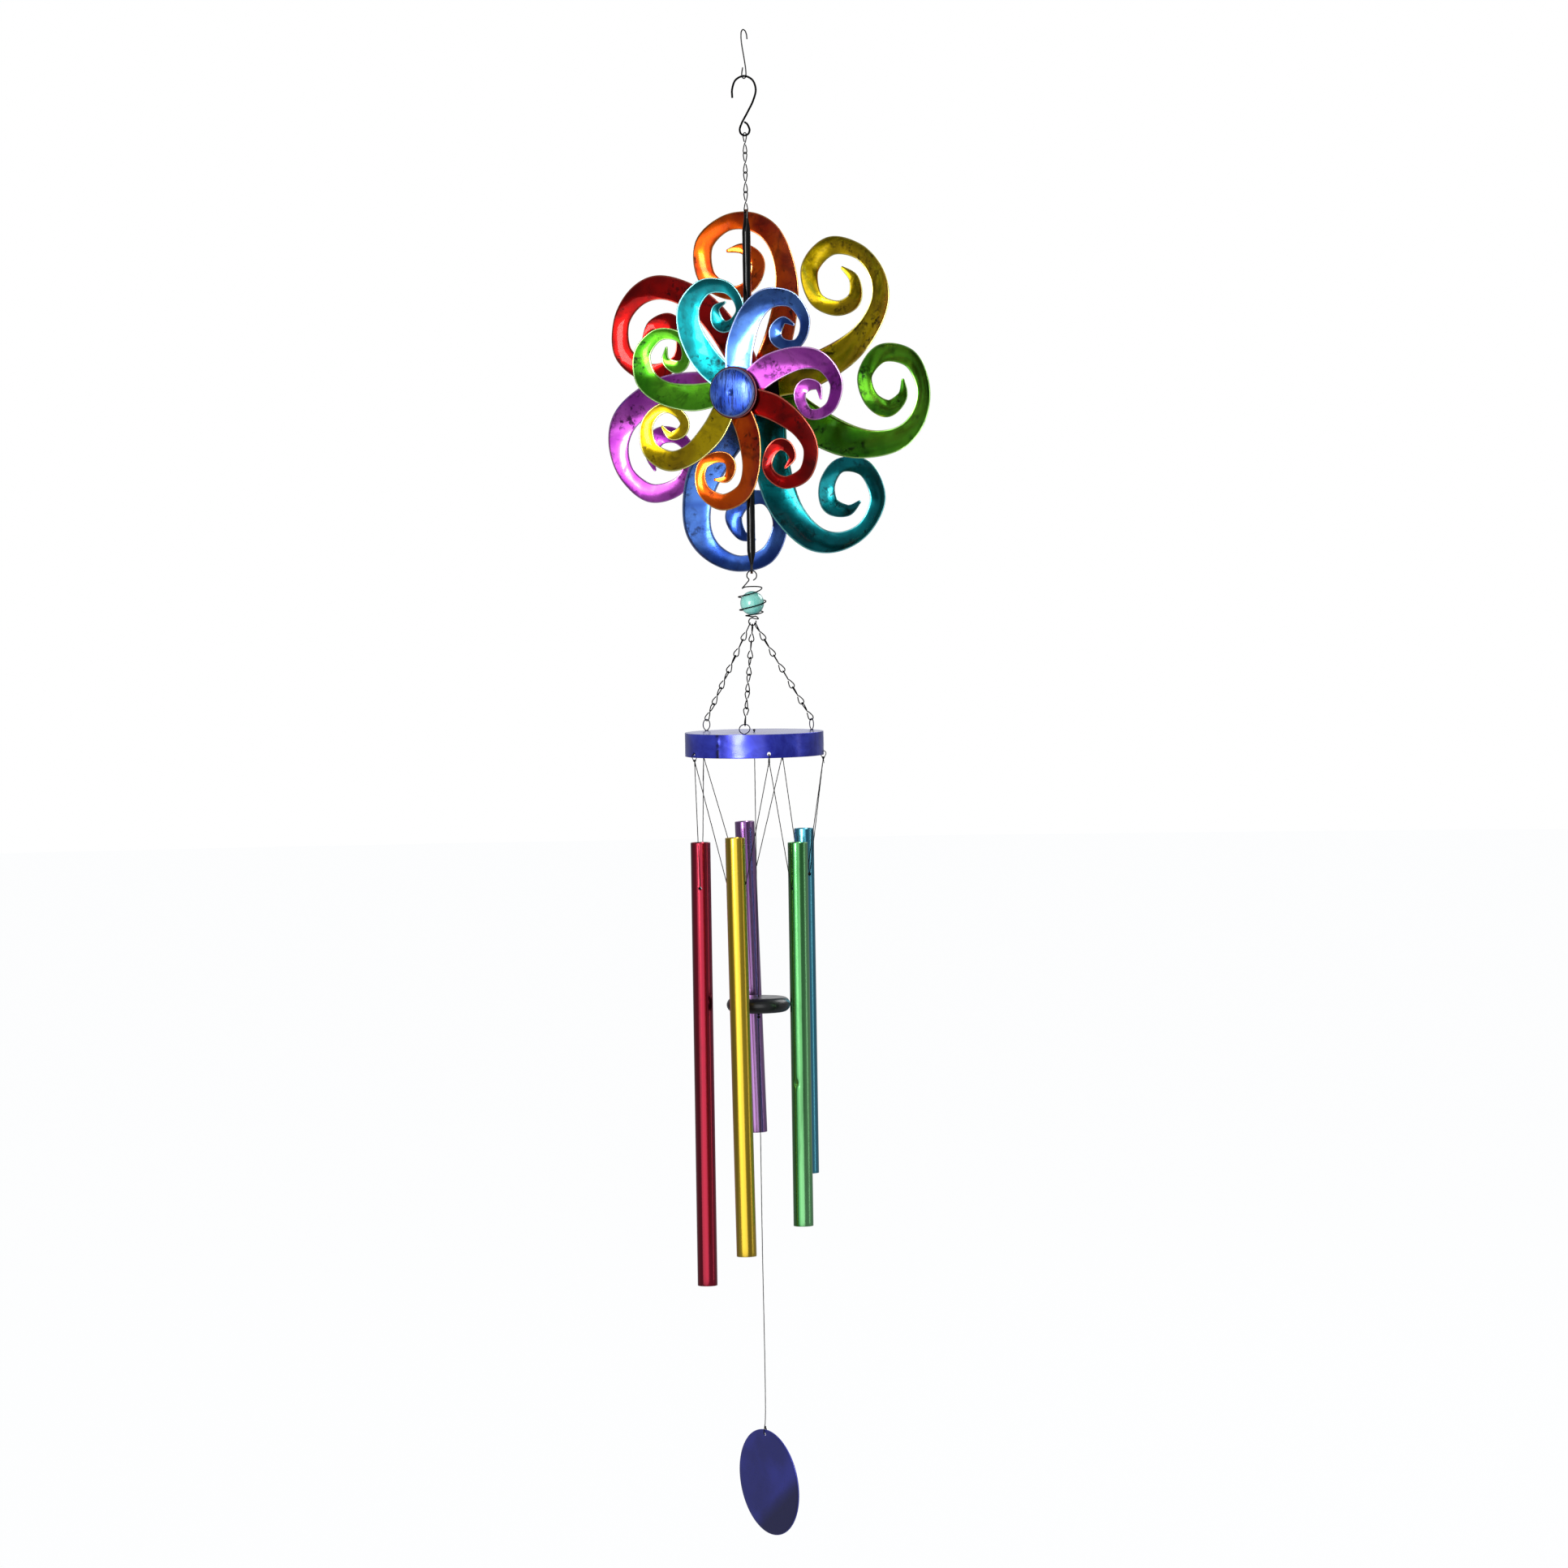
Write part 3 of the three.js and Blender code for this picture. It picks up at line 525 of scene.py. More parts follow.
class Nodes:
    """A material's nodes, wired with short calls."""

    def __init__(self, name, **fixed):
        self.material = bpy.data.materials.new(name)
        self.material.use_nodes = True
        self.tree = self.material.node_tree
        self.shader = self.tree.nodes["Principled BSDF"]
        fill(self.shader, **fixed)
        self.place = self.node("TexCoord").outputs["Object"]

    def node(self, kind, **settings):
        made = self.tree.nodes.new(f"ShaderNode{kind}")
        for key, value in settings.items():
            setattr(made, key, value)
        return made

    def link(self, source, target):
        self.tree.links.new(source, target)

    def to_shader(self, source, socket):
        self.link(source, self.shader.inputs[socket])

    def noise(self, scale, detail=3.0, roughness=0.5, distortion=0.0, at=None):
        made = self.node("TexNoise")
        self.link(at or self.place, made.inputs["Vector"])
        fill(made, Scale=scale, Detail=detail, Roughness=roughness, Distortion=distortion)
        return made.outputs["Fac"]

    def stretched(self, scale):
        made = self.node("Mapping")
        self.link(self.place, made.inputs["Vector"])
        fill(made, Scale=scale)
        return made.outputs["Vector"]

    def attribute(self, name):
        return self.node("Attribute", attribute_name=name).outputs["Fac"]

    def ramp(self, source, low, high, start=0.0, end=1.0):
        """Maps low..high of a value smoothly to start..end."""
        made = self.node("MapRange", interpolation_type="SMOOTHSTEP")
        self.link(source, made.inputs["Value"])
        fill(made, From_Min=low, From_Max=high, To_Min=start, To_Max=end)
        return made.outputs["Result"]

    def math(self, operation, a, b):
        made = self.node("Math", operation=operation)
        for socket, value in zip(made.inputs, (a, b)):
            if isinstance(value, (int, float)):
                socket.default_value = value
            else:
                self.link(value, socket)
        return made.outputs["Value"]

    def mix(self, amount, a, b):
        """Colour a where amount is 0 and b where it is 1. A colour is a socket or an sRGB hex string."""
        made = self.node("Mix", data_type="RGBA")
        self.link(amount, made.inputs["Factor"])
        for socket, value in ((made.inputs[6], a), (made.inputs[7], b)):
            if isinstance(value, str):
                socket.default_value = linear(value)
            else:
                self.link(value, socket)
        return made.outputs[2]

    def paint(self, colour):
        self.to_shader(colour, "Base Color")

    def rough(self, source, low, high):
        """Roughness that goes from low to high as a noise goes through its middle range."""
        self.to_shader(self.ramp(source, 0.3, 0.7, low, high), "Roughness")

    def bump(self, height, strength, distance=0.0004):
        made = self.node("Bump")
        fill(made, Strength=strength, Distance=distance)
        self.link(height, made.inputs["Height"])
        self.to_shader(made.outputs["Normal"], "Normal")


def candy_paint(name, light, middle, dark, rim):
    """Translucent colour over bright metal, sponged with dark, worn to the metal at the edges."""
    n = Nodes(name, Metallic=0.96, Coat_Weight=0.22, Coat_Roughness=0.05)
    tone = n.ramp(n.noise(22, 3, 0.5, 0.5), 0.34, 0.66)
    colour = n.mix(tone, middle, light)
    speck = n.ramp(n.noise(170, 6, 0.7, 0.3), 0.47, 0.62)
    patch = n.ramp(n.noise(30, 4, 0.62, 0.9), 0.45, 0.64, 0.1, 0.95)
    edge = n.ramp(n.attribute("edge"), 0.7, 1.0, 0.0, 0.12)
    shade = n.math("MULTIPLY", speck, n.math("MAXIMUM", patch, edge))
    cloud = n.math("MULTIPLY", n.ramp(n.noise(44, 4, 0.55, 1.2), 0.5, 0.74), 0.55)
    colour = n.mix(n.math("MAXIMUM", shade, cloud), colour, dark)
    ragged = n.math("ADD", n.attribute("rim"), n.math("MULTIPLY", n.noise(420, 3, 0.6), 0.35))
    colour = n.mix(n.ramp(ragged, 0.76, 0.96), colour, rim)
    n.paint(colour)
    rough = n.math("ADD", n.math("MULTIPLY", speck, 0.06), n.ramp(n.noise(30, 2), 0.3, 0.7, 0.15, 0.23))
    n.to_shader(rough, "Roughness")
    n.bump(n.noise(40, 2, 0.5), 0.08)
    return n.material


def brushed_cap():
    """Blue brushed lengthwise with dark streaks, pale at the rolled rim."""
    n = Nodes("cap_brushed_blue", Metallic=0.8, Coat_Weight=0.3, Coat_Roughness=0.14)
    streaks = n.noise(60, 6, 0.7, 0.3, at=n.stretched((12, 3, 1.4)))
    fine = n.noise(90, 8, 0.75, 0.2, at=n.stretched((10, 2, 1.2)))
    colour = n.mix(n.ramp(n.noise(45, 3), 0.35, 0.65), "2850c4", "6690f4")
    colour = n.mix(n.ramp(streaks, 0.5, 0.58, 0, 0.8), colour, "081030")
    colour = n.mix(n.ramp(n.attribute("rim"), 0.5, 0.9), colour, "8fa6dc")
    n.paint(colour)
    n.rough(fine, 0.22, 0.45)
    n.bump(fine, 0.35)
    return n.material


def enamel(name, base, worn, roughness=0.3, metallic=0.35, scale=300, bump=0.15, coat=0.4, gloss=0.5):
    """Dark dipped paint with small worn and dusty places."""
    n = Nodes(name, Metallic=metallic, Coat_Weight=coat, Coat_Roughness=0.15, Specular_IOR_Level=gloss)
    n.paint(n.mix(n.ramp(n.noise(scale, 5, 0.7), 0.6, 0.78), base, worn))
    n.rough(n.noise(scale * 0.6, 4), roughness * 0.75, roughness * 1.35)
    n.bump(n.noise(scale * 1.5, 5, 0.65), bump, 0.0002)
    return n.material


def bare_wire():
    n = Nodes("steel_wire_bare", Metallic=1.0)
    n.paint(n.mix(n.ramp(n.noise(260, 5), 0.45, 0.7), "3c3d3c", "121314"))
    n.rough(n.noise(500, 4), 0.16, 0.34)
    n.bump(n.noise(900, 3, at=n.stretched((1, 1, 0.08))), 0.12, 0.0001)
    return n.material


def rod_gloss():
    """Black gloss over a rod hammered to shape, silvery where the gloss has thinned."""
    n = Nodes("rod_black_gloss", Metallic=0.1, Coat_Weight=0.3, Coat_Roughness=0.05,
              Specular_IOR_Level=0.12)
    long_grain = n.noise(30, 6, 0.7, 0.5, at=n.stretched((14, 14, 0.7)))
    colour = n.mix(n.ramp(long_grain, 0.62, 0.82), "020203", "22282c")
    ends = n.ramp(n.attribute("ends"), 0.2, 0.9)
    colour = n.mix(n.math("MULTIPLY", ends, n.ramp(n.noise(240, 4), 0.4, 0.6)), colour, "5b3624")
    n.paint(colour)
    n.rough(long_grain, 0.05, 0.17)
    n.bump(n.noise(160, 4, 0.6), 0.3, 0.0005)
    return n.material


def aqua_glass():
    """Cloudy aqua glass with a paler swirl in it."""
    n = Nodes("marble_aqua_glass", IOR=1.5, Transmission_Weight=0.12, Roughness=0.12,
              Coat_Weight=1.0, Coat_Roughness=0.02)
    swirl = n.noise(60, 2, 0.5, 1.2, at=n.stretched((1, 1, 0.7)))
    n.paint(n.mix(n.ramp(swirl, 0.35, 0.62), "5cd2c2", "aaf2e4"))
    n.bump(n.noise(60, 2), 0.03, 0.0003)
    return n.material


def pan_paint():
    """Cobalt metallic paint: finely speckled, cloudier and darker near the soldered seam."""
    n = Nodes("pan_cobalt", Metallic=0.72, Coat_Weight=0.7, Coat_Roughness=0.19)
    colour = n.mix(n.ramp(n.noise(40, 4, 0.6, 0.5), 0.35, 0.68), "1a20a8", "3f4cdc")
    blotch = n.ramp(n.noise(120, 5, 0.6), 0.58, 0.76, 0, 0.2)
    colour = n.mix(blotch, colour, "0b0c3c")
    solder = n.math("MULTIPLY", n.attribute("seam"), n.ramp(n.noise(300, 5), 0.35, 0.6))
    colour = n.mix(solder, colour, "090a2c")
    n.paint(colour)
    n.rough(n.noise(30, 2), 0.28, 0.34)
    n.bump(n.noise(34, 2, 0.5), 0.03)
    return n.material


def anodised(name, light, middle, dark):
    """Dyed aluminium tube with fine drawing lines along it."""
    n = Nodes(name, Metallic=1.0, Anisotropic=0.5, Coat_Weight=0.6, Coat_Roughness=0.12)
    lines = n.noise(120, 2, 0.5, at=n.stretched((1, 1, 0.012)))
    colour = n.mix(n.ramp(lines, 0.35, 0.66), middle, light)
    stain = n.ramp(n.noise(30, 5, 0.65, 0.8, at=n.stretched((1, 1, 0.25))), 0.55, 0.78, 0, 0.55)
    colour = n.mix(stain, colour, dark)
    n.paint(colour)
    n.rough(lines, 0.14, 0.22)
    n.bump(n.noise(300, 2, 0.5, at=n.stretched((1, 1, 0.02))), 0.04, 0.0002)
    return n.material


def twine():
    n = Nodes("string_waxed_black", Roughness=0.7, Sheen_Weight=0.08, Specular_IOR_Level=0.2)
    n.paint(n.mix(n.ramp(n.noise(900, 4), 0.4, 0.65), "050506", "131316"))
    n.bump(n.noise(2600, 3), 0.4, 0.0001)
    return n.material


def striker_finish():
    """Black lacquered wood: faint grain, softly worn round its edge."""
    n = Nodes("striker_lacquer", Coat_Weight=0.5, Coat_Roughness=0.22)
    grain = n.noise(55, 6, 0.65, 0.6, at=n.stretched((1, 7, 1)))
    n.paint(n.mix(n.ramp(grain, 0.5, 0.72), "0c0c0e", "26262a"))
    n.rough(n.noise(140, 4), 0.34, 0.5)
    n.bump(grain, 0.25)
    return n.material


def sail_paint():
    """Navy paint, finely pitted, with painted shade deepest low on one side, and brighter where its rim is
    worn.
    """
    n = Nodes("sail_navy", Metallic=0.45, Coat_Weight=0.8, Coat_Roughness=0.14)
    colour = n.mix(n.ramp(n.noise(24, 3, 0.5, 0.4), 0.35, 0.68), "1c1f7c", "2b2f9a")
    # Painted shade: the lower right part, marked low, is darkened towards deep navy.
    colour = n.mix(n.attribute("low"), colour, "040250")
    colour = n.mix(n.ramp(n.noise(340, 7, 0.7), 0.6, 0.74, 0, 0.4), colour, "090a2a")
    colour = n.mix(n.ramp(n.attribute("rim"), 0.6, 1.0, 0, 0.7), colour, "4a51c4")
    n.paint(colour)
    n.rough(n.noise(110, 4), 0.26, 0.38)
    n.bump(n.noise(300, 5, 0.6), 0.08)
    return n.material


# Light, middle, dark and worn rim of each petal's paint.
PAINTS = {
    "blue": ("5484d6", "1f4294", "070f34", "a4b8ea"),
    "magenta": ("ec6cee", "b034bc", "300836", "eeb0f2"),
    "red": ("d80803", "7c0000", "180101", "e07058"),
    "orange": ("ff6402", "ba2200", "280702", "f8a860"),
    "yellow": ("fcd80a", "b89404", "2c2202", "f0e888"),
    "green": ("72d028", "40a012", "0a2204", "b6e88c"),
    "teal": ("0aaab2", "04747c", "021a1e", "90dee0"),
}
# Light, middle and dark of each tube's dye.
DYES = {
    "red": ("ac0c32", "70021c", "34020c"),
    "yellow": ("e4c030", "b08c0a", "5e4a02"),
    "green": ("80ca84", "3c9648", "123c1a"),
    "blue": ("6cc4d8", "3094b0", "0a3c50"),
    "purple": ("a478b0", "744684", "2e1444"),
}


# ---------------- hooks and chains
def steel_hook_line():
    bend = CROWN_Z - BLACK_WIRE - STEEL_WIRE - 0.5
    return standing([
        (4.9, -7), (4.2, -3), (2.4, -0.3), (0, STEEL_WIRE), (-2.2, -0.9), (-2.9, -5),
        (-2.3, -11), (0.4, -22), (2.4, -31), (2.8, -36.6), (2.0, bend + 0.8), (0, bend),
        (-2.0, bend + 0.8), (-2.7, -36.6), (-1.4, -31),
    ], STEEL_YAW)


def black_hook_line():
    low = CROWN_Z - BLACK_EYE_DROP
    return standing([
        (-9.9, CROWN_Z - 17.6), (-9.9, CROWN_Z - 11), (-6.9, CROWN_Z - 3.2), (0, CROWN_Z),
        (6.9, CROWN_Z - 3.2), (9.7, CROWN_Z - 11), (7.6, CROWN_Z - 20), (2.6, CROWN_Z - 30),
        (-2.6, low + 9.6), (-4.1, low + 4.6), (-2.9, low + 1.2), (0, low), (2.9, low + 1.2),
        (4.1, low + 4.3), (3.2, low + 7.5), (1.9, low + 9.7), (0.1, low + 11),
    ], BLACK_YAW)


def link_line(half):
    """A figure-eight link of bent wire, its two loops a quarter turn apart."""
    w = LINK_HALF_WIDTH
    bend = half - 0.293 * w
    loop = [
        (0.38 * w, 0.16 * half), (0.74 * w, 0.42 * half), (w, half - w), (0.707 * w, bend), (0, half),
        (-0.707 * w, bend), (-w, half - w), (-0.74 * w, 0.42 * half), (-0.32 * w, 0.13 * half),
    ]
    upper = [Vector((x, 0, z)) for x, z in loop]
    lower = [Vector((0, -x, -z)) for x, z in reversed(loop)]
    return [*upper, Vector((0, 0, 0)), *lower]


def link(centre, half, down, across):
    """A link that hangs along down, with its lower loop's side facing across."""
    side = (across - down * across.dot(down)).normalized()
    other = down.cross(side)
    turn = Matrix((other, side, -down)).transposed().to_4x4()
    return moved(wire(link_line(half), 0.4, LINK_SHOWN, 10), Matrix.Translation(centre) @ turn)


def hooks_and_chain(steel, black):
    stand_in("steel_hook", wire(steel_hook_line(), 0.5, STEEL_WIRE, 14), steel, 60)
    stand_in("black_hook", wire(black_hook_line(), 0.6, BLACK_WIRE, 16), black, 60)
    overlap = 2 * LINK_WIRE + GAP
    top = CROWN_Z - BLACK_EYE_DROP + BLACK_WIRE + LINK_WIRE + EYE_GAP
    bottom = ROD_TOP - ROD_EYE_INSET
    half = (top - bottom + (TOP_LINKS - 1) * overlap) / (2 * TOP_LINKS)
    across = -polar(1, CHAIN_YAW + 90, 0)
    for i in range(TOP_LINKS):
        centre = Vector((0, 0, top - half - i * (2 * half - overlap)))
        stand_in(f"top_link_{i + 1}", link(centre, half, -UP, across), black, 60)


def eye_rim(angle, lean, radii):
    """A point that many radii above an eye's foot: 1 is its middle and 2 its top, leaning in."""
    reach = EYE_RADIUS * radii
    turn = math.radians(lean)
    return polar(EYE_CIRCLE - reach * math.sin(turn), angle, EYE_Z - EYE_RADIUS + reach * math.cos(turn))


def leg(angle, lean, shift, twist):
    """One chain from the cage's low eye to its ring on the pan, each link hooked through the next."""
    rise = CAGE_EYE_LOW - math.sqrt(CAGE_EYE_LOW ** 2 - shift ** 2)
    start = polar(shift, CAGE_YAW, CAGE_LOW_EYE_Z + rise)
    end = eye_rim(angle, lean, 2)
    aim = (end - start).normalized()
    start = start - aim * (CAGE_WIRE + LINK_WIRE)
    end = end + aim * (EYE_WIRE + LINK_WIRE)
    overlap = 2 * LINK_WIRE
    half = ((end - start).length + (LEG_LINKS - 1) * overlap) / (2 * LEG_LINKS)
    links = []
    for i in range(LEG_LINKS):
        across = polar(1, CAGE_YAW + twist * i / (LEG_LINKS - 1), 0)
        links.append(link(start + aim * (half + i * (2 * half - overlap)), half, aim, across))
    return joined(*links)


# ---------------- spindle
def rod_shape():
    """A round rod whose ends are hammered down to flat tongues."""
    middle = (ROD_TOP + ROD_BOTTOM) / 2
    rings = []
    for i in range(ROD_ROWS + 1):
        z = ROD_BOTTOM + (ROD_TOP - ROD_BOTTOM) * i / ROD_ROWS
        inset = min(z - ROD_BOTTOM, ROD_TOP - z)
        t = share(inset, TONGUE_LENGTH * 0.8, TONGUE_LENGTH + TAPER_LENGTH)
        roundness = t * t * (3 - 2 * t)
        wide = TONGUE_RADIUS + (ROD_RADIUS - TONGUE_RADIUS) * roundness
        thick = TONGUE_HALF + (ROD_RADIUS - TONGUE_HALF) * roundness
        close = math.sqrt(min(inset + 0.25, END_ROUND) / END_ROUND)
        yaw = CHAIN_YAW if z > middle else CAGE_RING_YAW - 90
        ring = []
        for k in range(ROD_SIDES):
            angle = 2 * math.pi * k / ROD_SIDES - math.radians(yaw)
            dent = noise.noise(Vector((math.cos(angle) * 0.8, math.sin(angle) * 0.8, z * 0.11)))
            size = 1 - HAMMERED * abs(dent) * (1 + 1.5 * (1 - roundness))
            u = wide * close * size * math.cos(angle)
            v = thick * size * math.sin(angle)
            ring.append(polar(u, yaw, z) + polar(v, yaw + 90, 0))
        rings.append(ring)
    return skin(rings)


def rod(paint):
    """The drilled rod, marked with how near each point is to an end, where the rust is."""
    eyes = (ROD_TOP - ROD_EYE_INSET, CHAIN_YAW + 90), (ROD_BOTTOM + ROD_EYE_INSET, CAGE_RING_YAW)
    pins = [(polar(-6, yaw, z), polar(6, yaw, z), ROD_EYE_RADIUS) for z, yaw in eyes]
    piece = stand_in("rod", rod_shape(), paint, 60, pins)
    heights = [v.co.z / MM for v in piece.data.vertices]
    insets = [min(ROD_TOP - z, z - ROD_BOTTOM) for z in heights]
    set_attribute(piece, "ends", [1 - share(inset, 0, RUST_REACH) for inset in insets])


def hexagon(apothem, y0, y1, bore):
    """A hexagon nut along the axle with turned chamfers at both faces."""
    corner = apothem / math.cos(math.pi / 6)
    chamfer = 0.7
    angles = [2 * math.pi * k / 60 for k in range(60)]
    rings = []
    for y, limit in ((y0, apothem), (y0 + chamfer, corner), (y1 - chamfer, corner), (y1, apothem)):
        ring = []
        for a in angles:
            r = min(apothem / math.cos((a + math.pi / 6) % (math.pi / 3) - math.pi / 6), limit)
            ring.append(Vector((r * math.cos(a), r * math.sin(a), y)))
        rings.append(ring)
    for y in (y1, y0):
        rings.append([Vector((bore * math.cos(a), bore * math.sin(a), y)) for a in angles])
    return skin(rings, closed=True)


def spindle(rod_paint, steel, black, crimson, cap_paint):
    """The rod and what sits on the axle, placed between the hub plates' faces."""
    rod(rod_paint)
    front_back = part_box("front_hub_plate")[1].y / MM
    rear_front, rear_back = (corner.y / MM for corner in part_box("rear_hub_plate"))
    head = front_back - 4.6
    tail = rear_back + 7
    axle = [(0, head), (AXLE_HEAD, head), (AXLE_HEAD, head + 2), (AXLE_RADIUS, head + 2),
            (AXLE_RADIUS, tail), (0, tail)]
    stand_in("axle", turned_on_axle(axle, 0.8, 36), steel)
    for node, low, high in (("front_spacer", front_back + 0.3, -3.8), ("rear_spacer", 3.8, rear_front - 0.3)):
        ring = [(FREE_BORE, low), (3.6, low), (3.6, high), (FREE_BORE, high)]
        stand_in(node, turned_on_axle(ring, 0.35, 36), black)
    nut = hexagon(4, rear_back + 0.4, rear_back + 5.4, AXLE_RADIUS + 0.1)
    stand_in("rear_nut", moved(nut, ON_AXLE), steel, 25)
    for node, radius, bore, paint in (
        ("front_hub_plate", HUB_RADIUS, FREE_BORE, crimson), ("rear_hub_plate", HUB_RADIUS, FREE_BORE, black),
        ("front_hub_ring", HUB_RADIUS - 0.2, 6, crimson),
    ):
        low, high = (corner.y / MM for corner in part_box(node))
        disc = [(bore, low), (radius, low), (radius, high), (bore, high)]
        stand_in(node, turned_on_axle(disc, 0.5, 72), paint)
    hub_cap(cap_paint)


def hub_cap(paint):
    """The domed cap over the small wheel's hub, with a centre dimple and a rolled rim."""
    low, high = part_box("front_hub_cap")
    top, rim = low.y / MM, high.y / MM
    radius = (high.x - low.x) / 2 / MM
    thick = 1.2
    bead_radius = 0.75
    depth = rim - top - thick
    steps = 40
    outer = []
    for i in range(steps + 1):
        r = i / steps
        dome = top + depth * (1 - math.sqrt(1 - (0.985 * r) ** 2)) * 0.92
        dimple = 0.9 * math.exp(-((r * radius / 2.1) ** 2))
        outer.append(Vector((radius * r * 0.975, dome + dimple)))
    bead = []
    for k in range(5):
        turn = math.radians(20 + 35 * k)
        out = radius - bead_radius + bead_radius * math.sin(turn)
        bead.append(Vector((out, rim - 0.9 - bead_radius * math.cos(turn))))
    inner = [Vector((p.x * 0.95, p.y + thick)) for p in reversed(outer)]
    cap = stand_in("front_hub_cap", moved(lathe(outer + bead + inner, 96), ON_AXLE), paint, 50)
    distance = [math.hypot(v.co.x, v.co.z - AXLE_Z * MM) / MM for v in cap.data.vertices]
    set_attribute(cap, "rim", [share(r, radius - 2.2, radius - 0.8) for r in distance])


# ---------------- petals
def station(stations, t):
    """The five station values at t, by a uniform Catmull-Rom curve through the table."""
    last = len(stations) - 1
    at = min(t * last, last - 1e-9)
    i = math.floor(at)
    u = at - i
    a, b, c, d = (np.array(stations[min(max(k, 0), last)], float) for k in range(i - 1, i + 3))
    square, cube = 2 * a - 5 * b + 4 * c - d, 3 * b - a - 3 * c + d
    return 0.5 * (2 * b + (c - a) * u + square * u * u + cube * u ** 3)


def petal_rings(wheel, index):
    """Closed rings round the sheet, from the root to the curl's tip, with a bead along both edges."""
    stations, half_sheet = wheel["stations"], wheel["sheet"] / 2
    angle = math.radians(wheel["phase"] - 360 / PETALS * index - wheel["set"][index])
    bead = max(half_sheet, 0.42)
    seed = Vector((index * 7.3, wheel["turn"] * 11.7, 2.1))
    rings = []

    def surface(t, across, shrink, ahead):
        """A point on the sheet's middle: t along the spine, and across from -1 to 1 over the band."""
        values = station(stations, t)
        near, far = station(stations, max(t - 1e-4, 0)), station(stations, min(t + 1e-4, 1))
        way = Vector((far[0] - near[0], far[1] - near[1], 0)).normalized()
        tilt = math.radians(values[4])
        trough = TROUGH_ROOT + (TROUGH - TROUGH_ROOT) * min(t * 6, 1)
        reach = values[2] / 2 * across * shrink
        forward = values[3] + reach * math.sin(tilt) + trough * values[2] * ((across * shrink) ** 2 - 0.5)
        x = values[0] + way.y * reach * math.cos(tilt) + way.x * ahead
        y = (values[1] - way.x * reach * math.cos(tilt) + way.y * ahead) * wheel["turn"]
        lump = PAINT_LUMP * noise.noise(Vector((x, y, 0)) * 0.11 + seed)
        return Vector((
            x * math.cos(angle) - y * math.sin(angle),
            wheel["y"] - forward + half_sheet + lump,
            AXLE_Z + x * math.sin(angle) + y * math.cos(angle),
        ))

    def add_ring(t, shrink, ahead):
        edge = 1 - bead / max(station(stations, t)[2] / 2 * shrink, bead * 2)
        line = [surface(t, edge * (2 * k / PETAL_ROWS - 1), shrink, ahead) for k in range(PETAL_ROWS + 1)]
        step = 2e-3
        t0, t1 = max(t - step, 0), min(t + step, 1)
        run = (surface(t1, 0, shrink, ahead) - surface(t0, 0, shrink, ahead)).normalized()
        normals, outs = [], []
        for k, p in enumerate(line):
            out = (line[min(k + 1, PETAL_ROWS)] - line[max(k - 1, 0)]).normalized()
            normal = out.cross(run).normalized()
            normals.append(normal if normal.y < 0 else -normal)
            outs.append(out)
        thin = min(1.0, shrink * 2)

        def edge_bead(end, sign):
            turns = [math.radians(20 + 140 * b / (BEAD_STEPS - 1)) for b in range(BEAD_STEPS)]
            out = outs[end] * sign
            return [line[end] + (normals[end] * math.cos(a) + out * math.sin(a)) * bead * thin for a in turns]

        front = [p + n * half_sheet for p, n in zip(line, normals)]
        back = [p - n * half_sheet for p, n in zip(line, normals)]
        rings.append([*front, *edge_bead(PETAL_ROWS, 1), *back[::-1], *edge_bead(0, -1)[::-1]])

    for i in range(PETAL_STEPS + 1):
        add_ring(i / PETAL_STEPS, 1.0, 0.0)
    tip = stations[-1][2] / 2
    for i in range(1, TIP_STEPS + 1):
        turn = math.pi / 2 * i / (TIP_STEPS + 0.35)
        add_ring(1.0, math.cos(turn), tip * math.sin(turn))
    return rings


def petal_marks():
    """For all points of a petal: how near it is to the band's edge, and whether it's on the worn rim."""
    across = [abs(2 * k / PETAL_ROWS - 1) for k in range(PETAL_ROWS + 1)]
    ends = [1.0, *[0.0] * (PETAL_ROWS - 1), 1.0]
    bead = [1.0] * BEAD_STEPS
    edge = [*across, *bead, *across, *bead]
    rim = [*ends, *bead, *ends, *bead]
    full = [1.0] * len(edge)
    rows = PETAL_STEPS + 1
    return edge * rows + full * TIP_STEPS, rim * (rows + 1) + full * (TIP_STEPS - 1)


def petals(prefix, wheel, colours, paints):
    edge, rim = petal_marks()
    for index, colour in enumerate(colours):
        shape = skin(petal_rings(wheel, index))
        piece = stand_in(f"{prefix}_petal_{colour}", shape, paints[colour], 50, keep_points=True)
        set_attribute(piece, "edge", edge)
        set_attribute(piece, "rim", rim)


# ---------------- caged marble
def cage_line():
    points = []
    top_eye = ROD_BOTTOM + ROD_EYE_INSET - CAGE_EYE_TOP

    def ring(radius, z, start, end, steps, yaw):
        for i in range(steps + 1):
            angle = math.radians(start + (end - start) * i / steps)
            points.append(polar(radius * math.cos(angle), yaw, z + radius * math.sin(angle)))

    ring(CAGE_EYE_TOP, top_eye, -70, 235, 8, CAGE_RING_YAW)
    points.append(polar(-4.5, CAGE_RING_YAW, top_eye - 6.4))
    points.extend(polar(radius, CAGE_COIL_YAW - 45 * i, z) for i, (radius, z) in enumerate(CAGE_COIL))
    points.extend((polar(3.2, CAGE_YAW, -486.9), polar(5.1, CAGE_YAW, -488.9)))
    ring(CAGE_EYE_LOW, CAGE_LOW_EYE_Z + CAGE_EYE_LOW, 55, 370, 8, CAGE_YAW)
    return points


def marble_shape():
    """A glass marble, very slightly out of round, as a hand-finished one is."""
    rows = 40
    angles = [math.pi * i / rows for i in range(rows + 1)]
    profile = [Vector((math.sin(a), -math.cos(a))) * MARBLE_RADIUS for a in angles]

    def flaw(angle, r, z):
        return -0.05 * abs(noise.noise(Vector((math.cos(angle), math.sin(angle), z / 6))))

    return moved(lathe(profile, 64, flaw), Matrix.Translation(UP * MARBLE_Z))


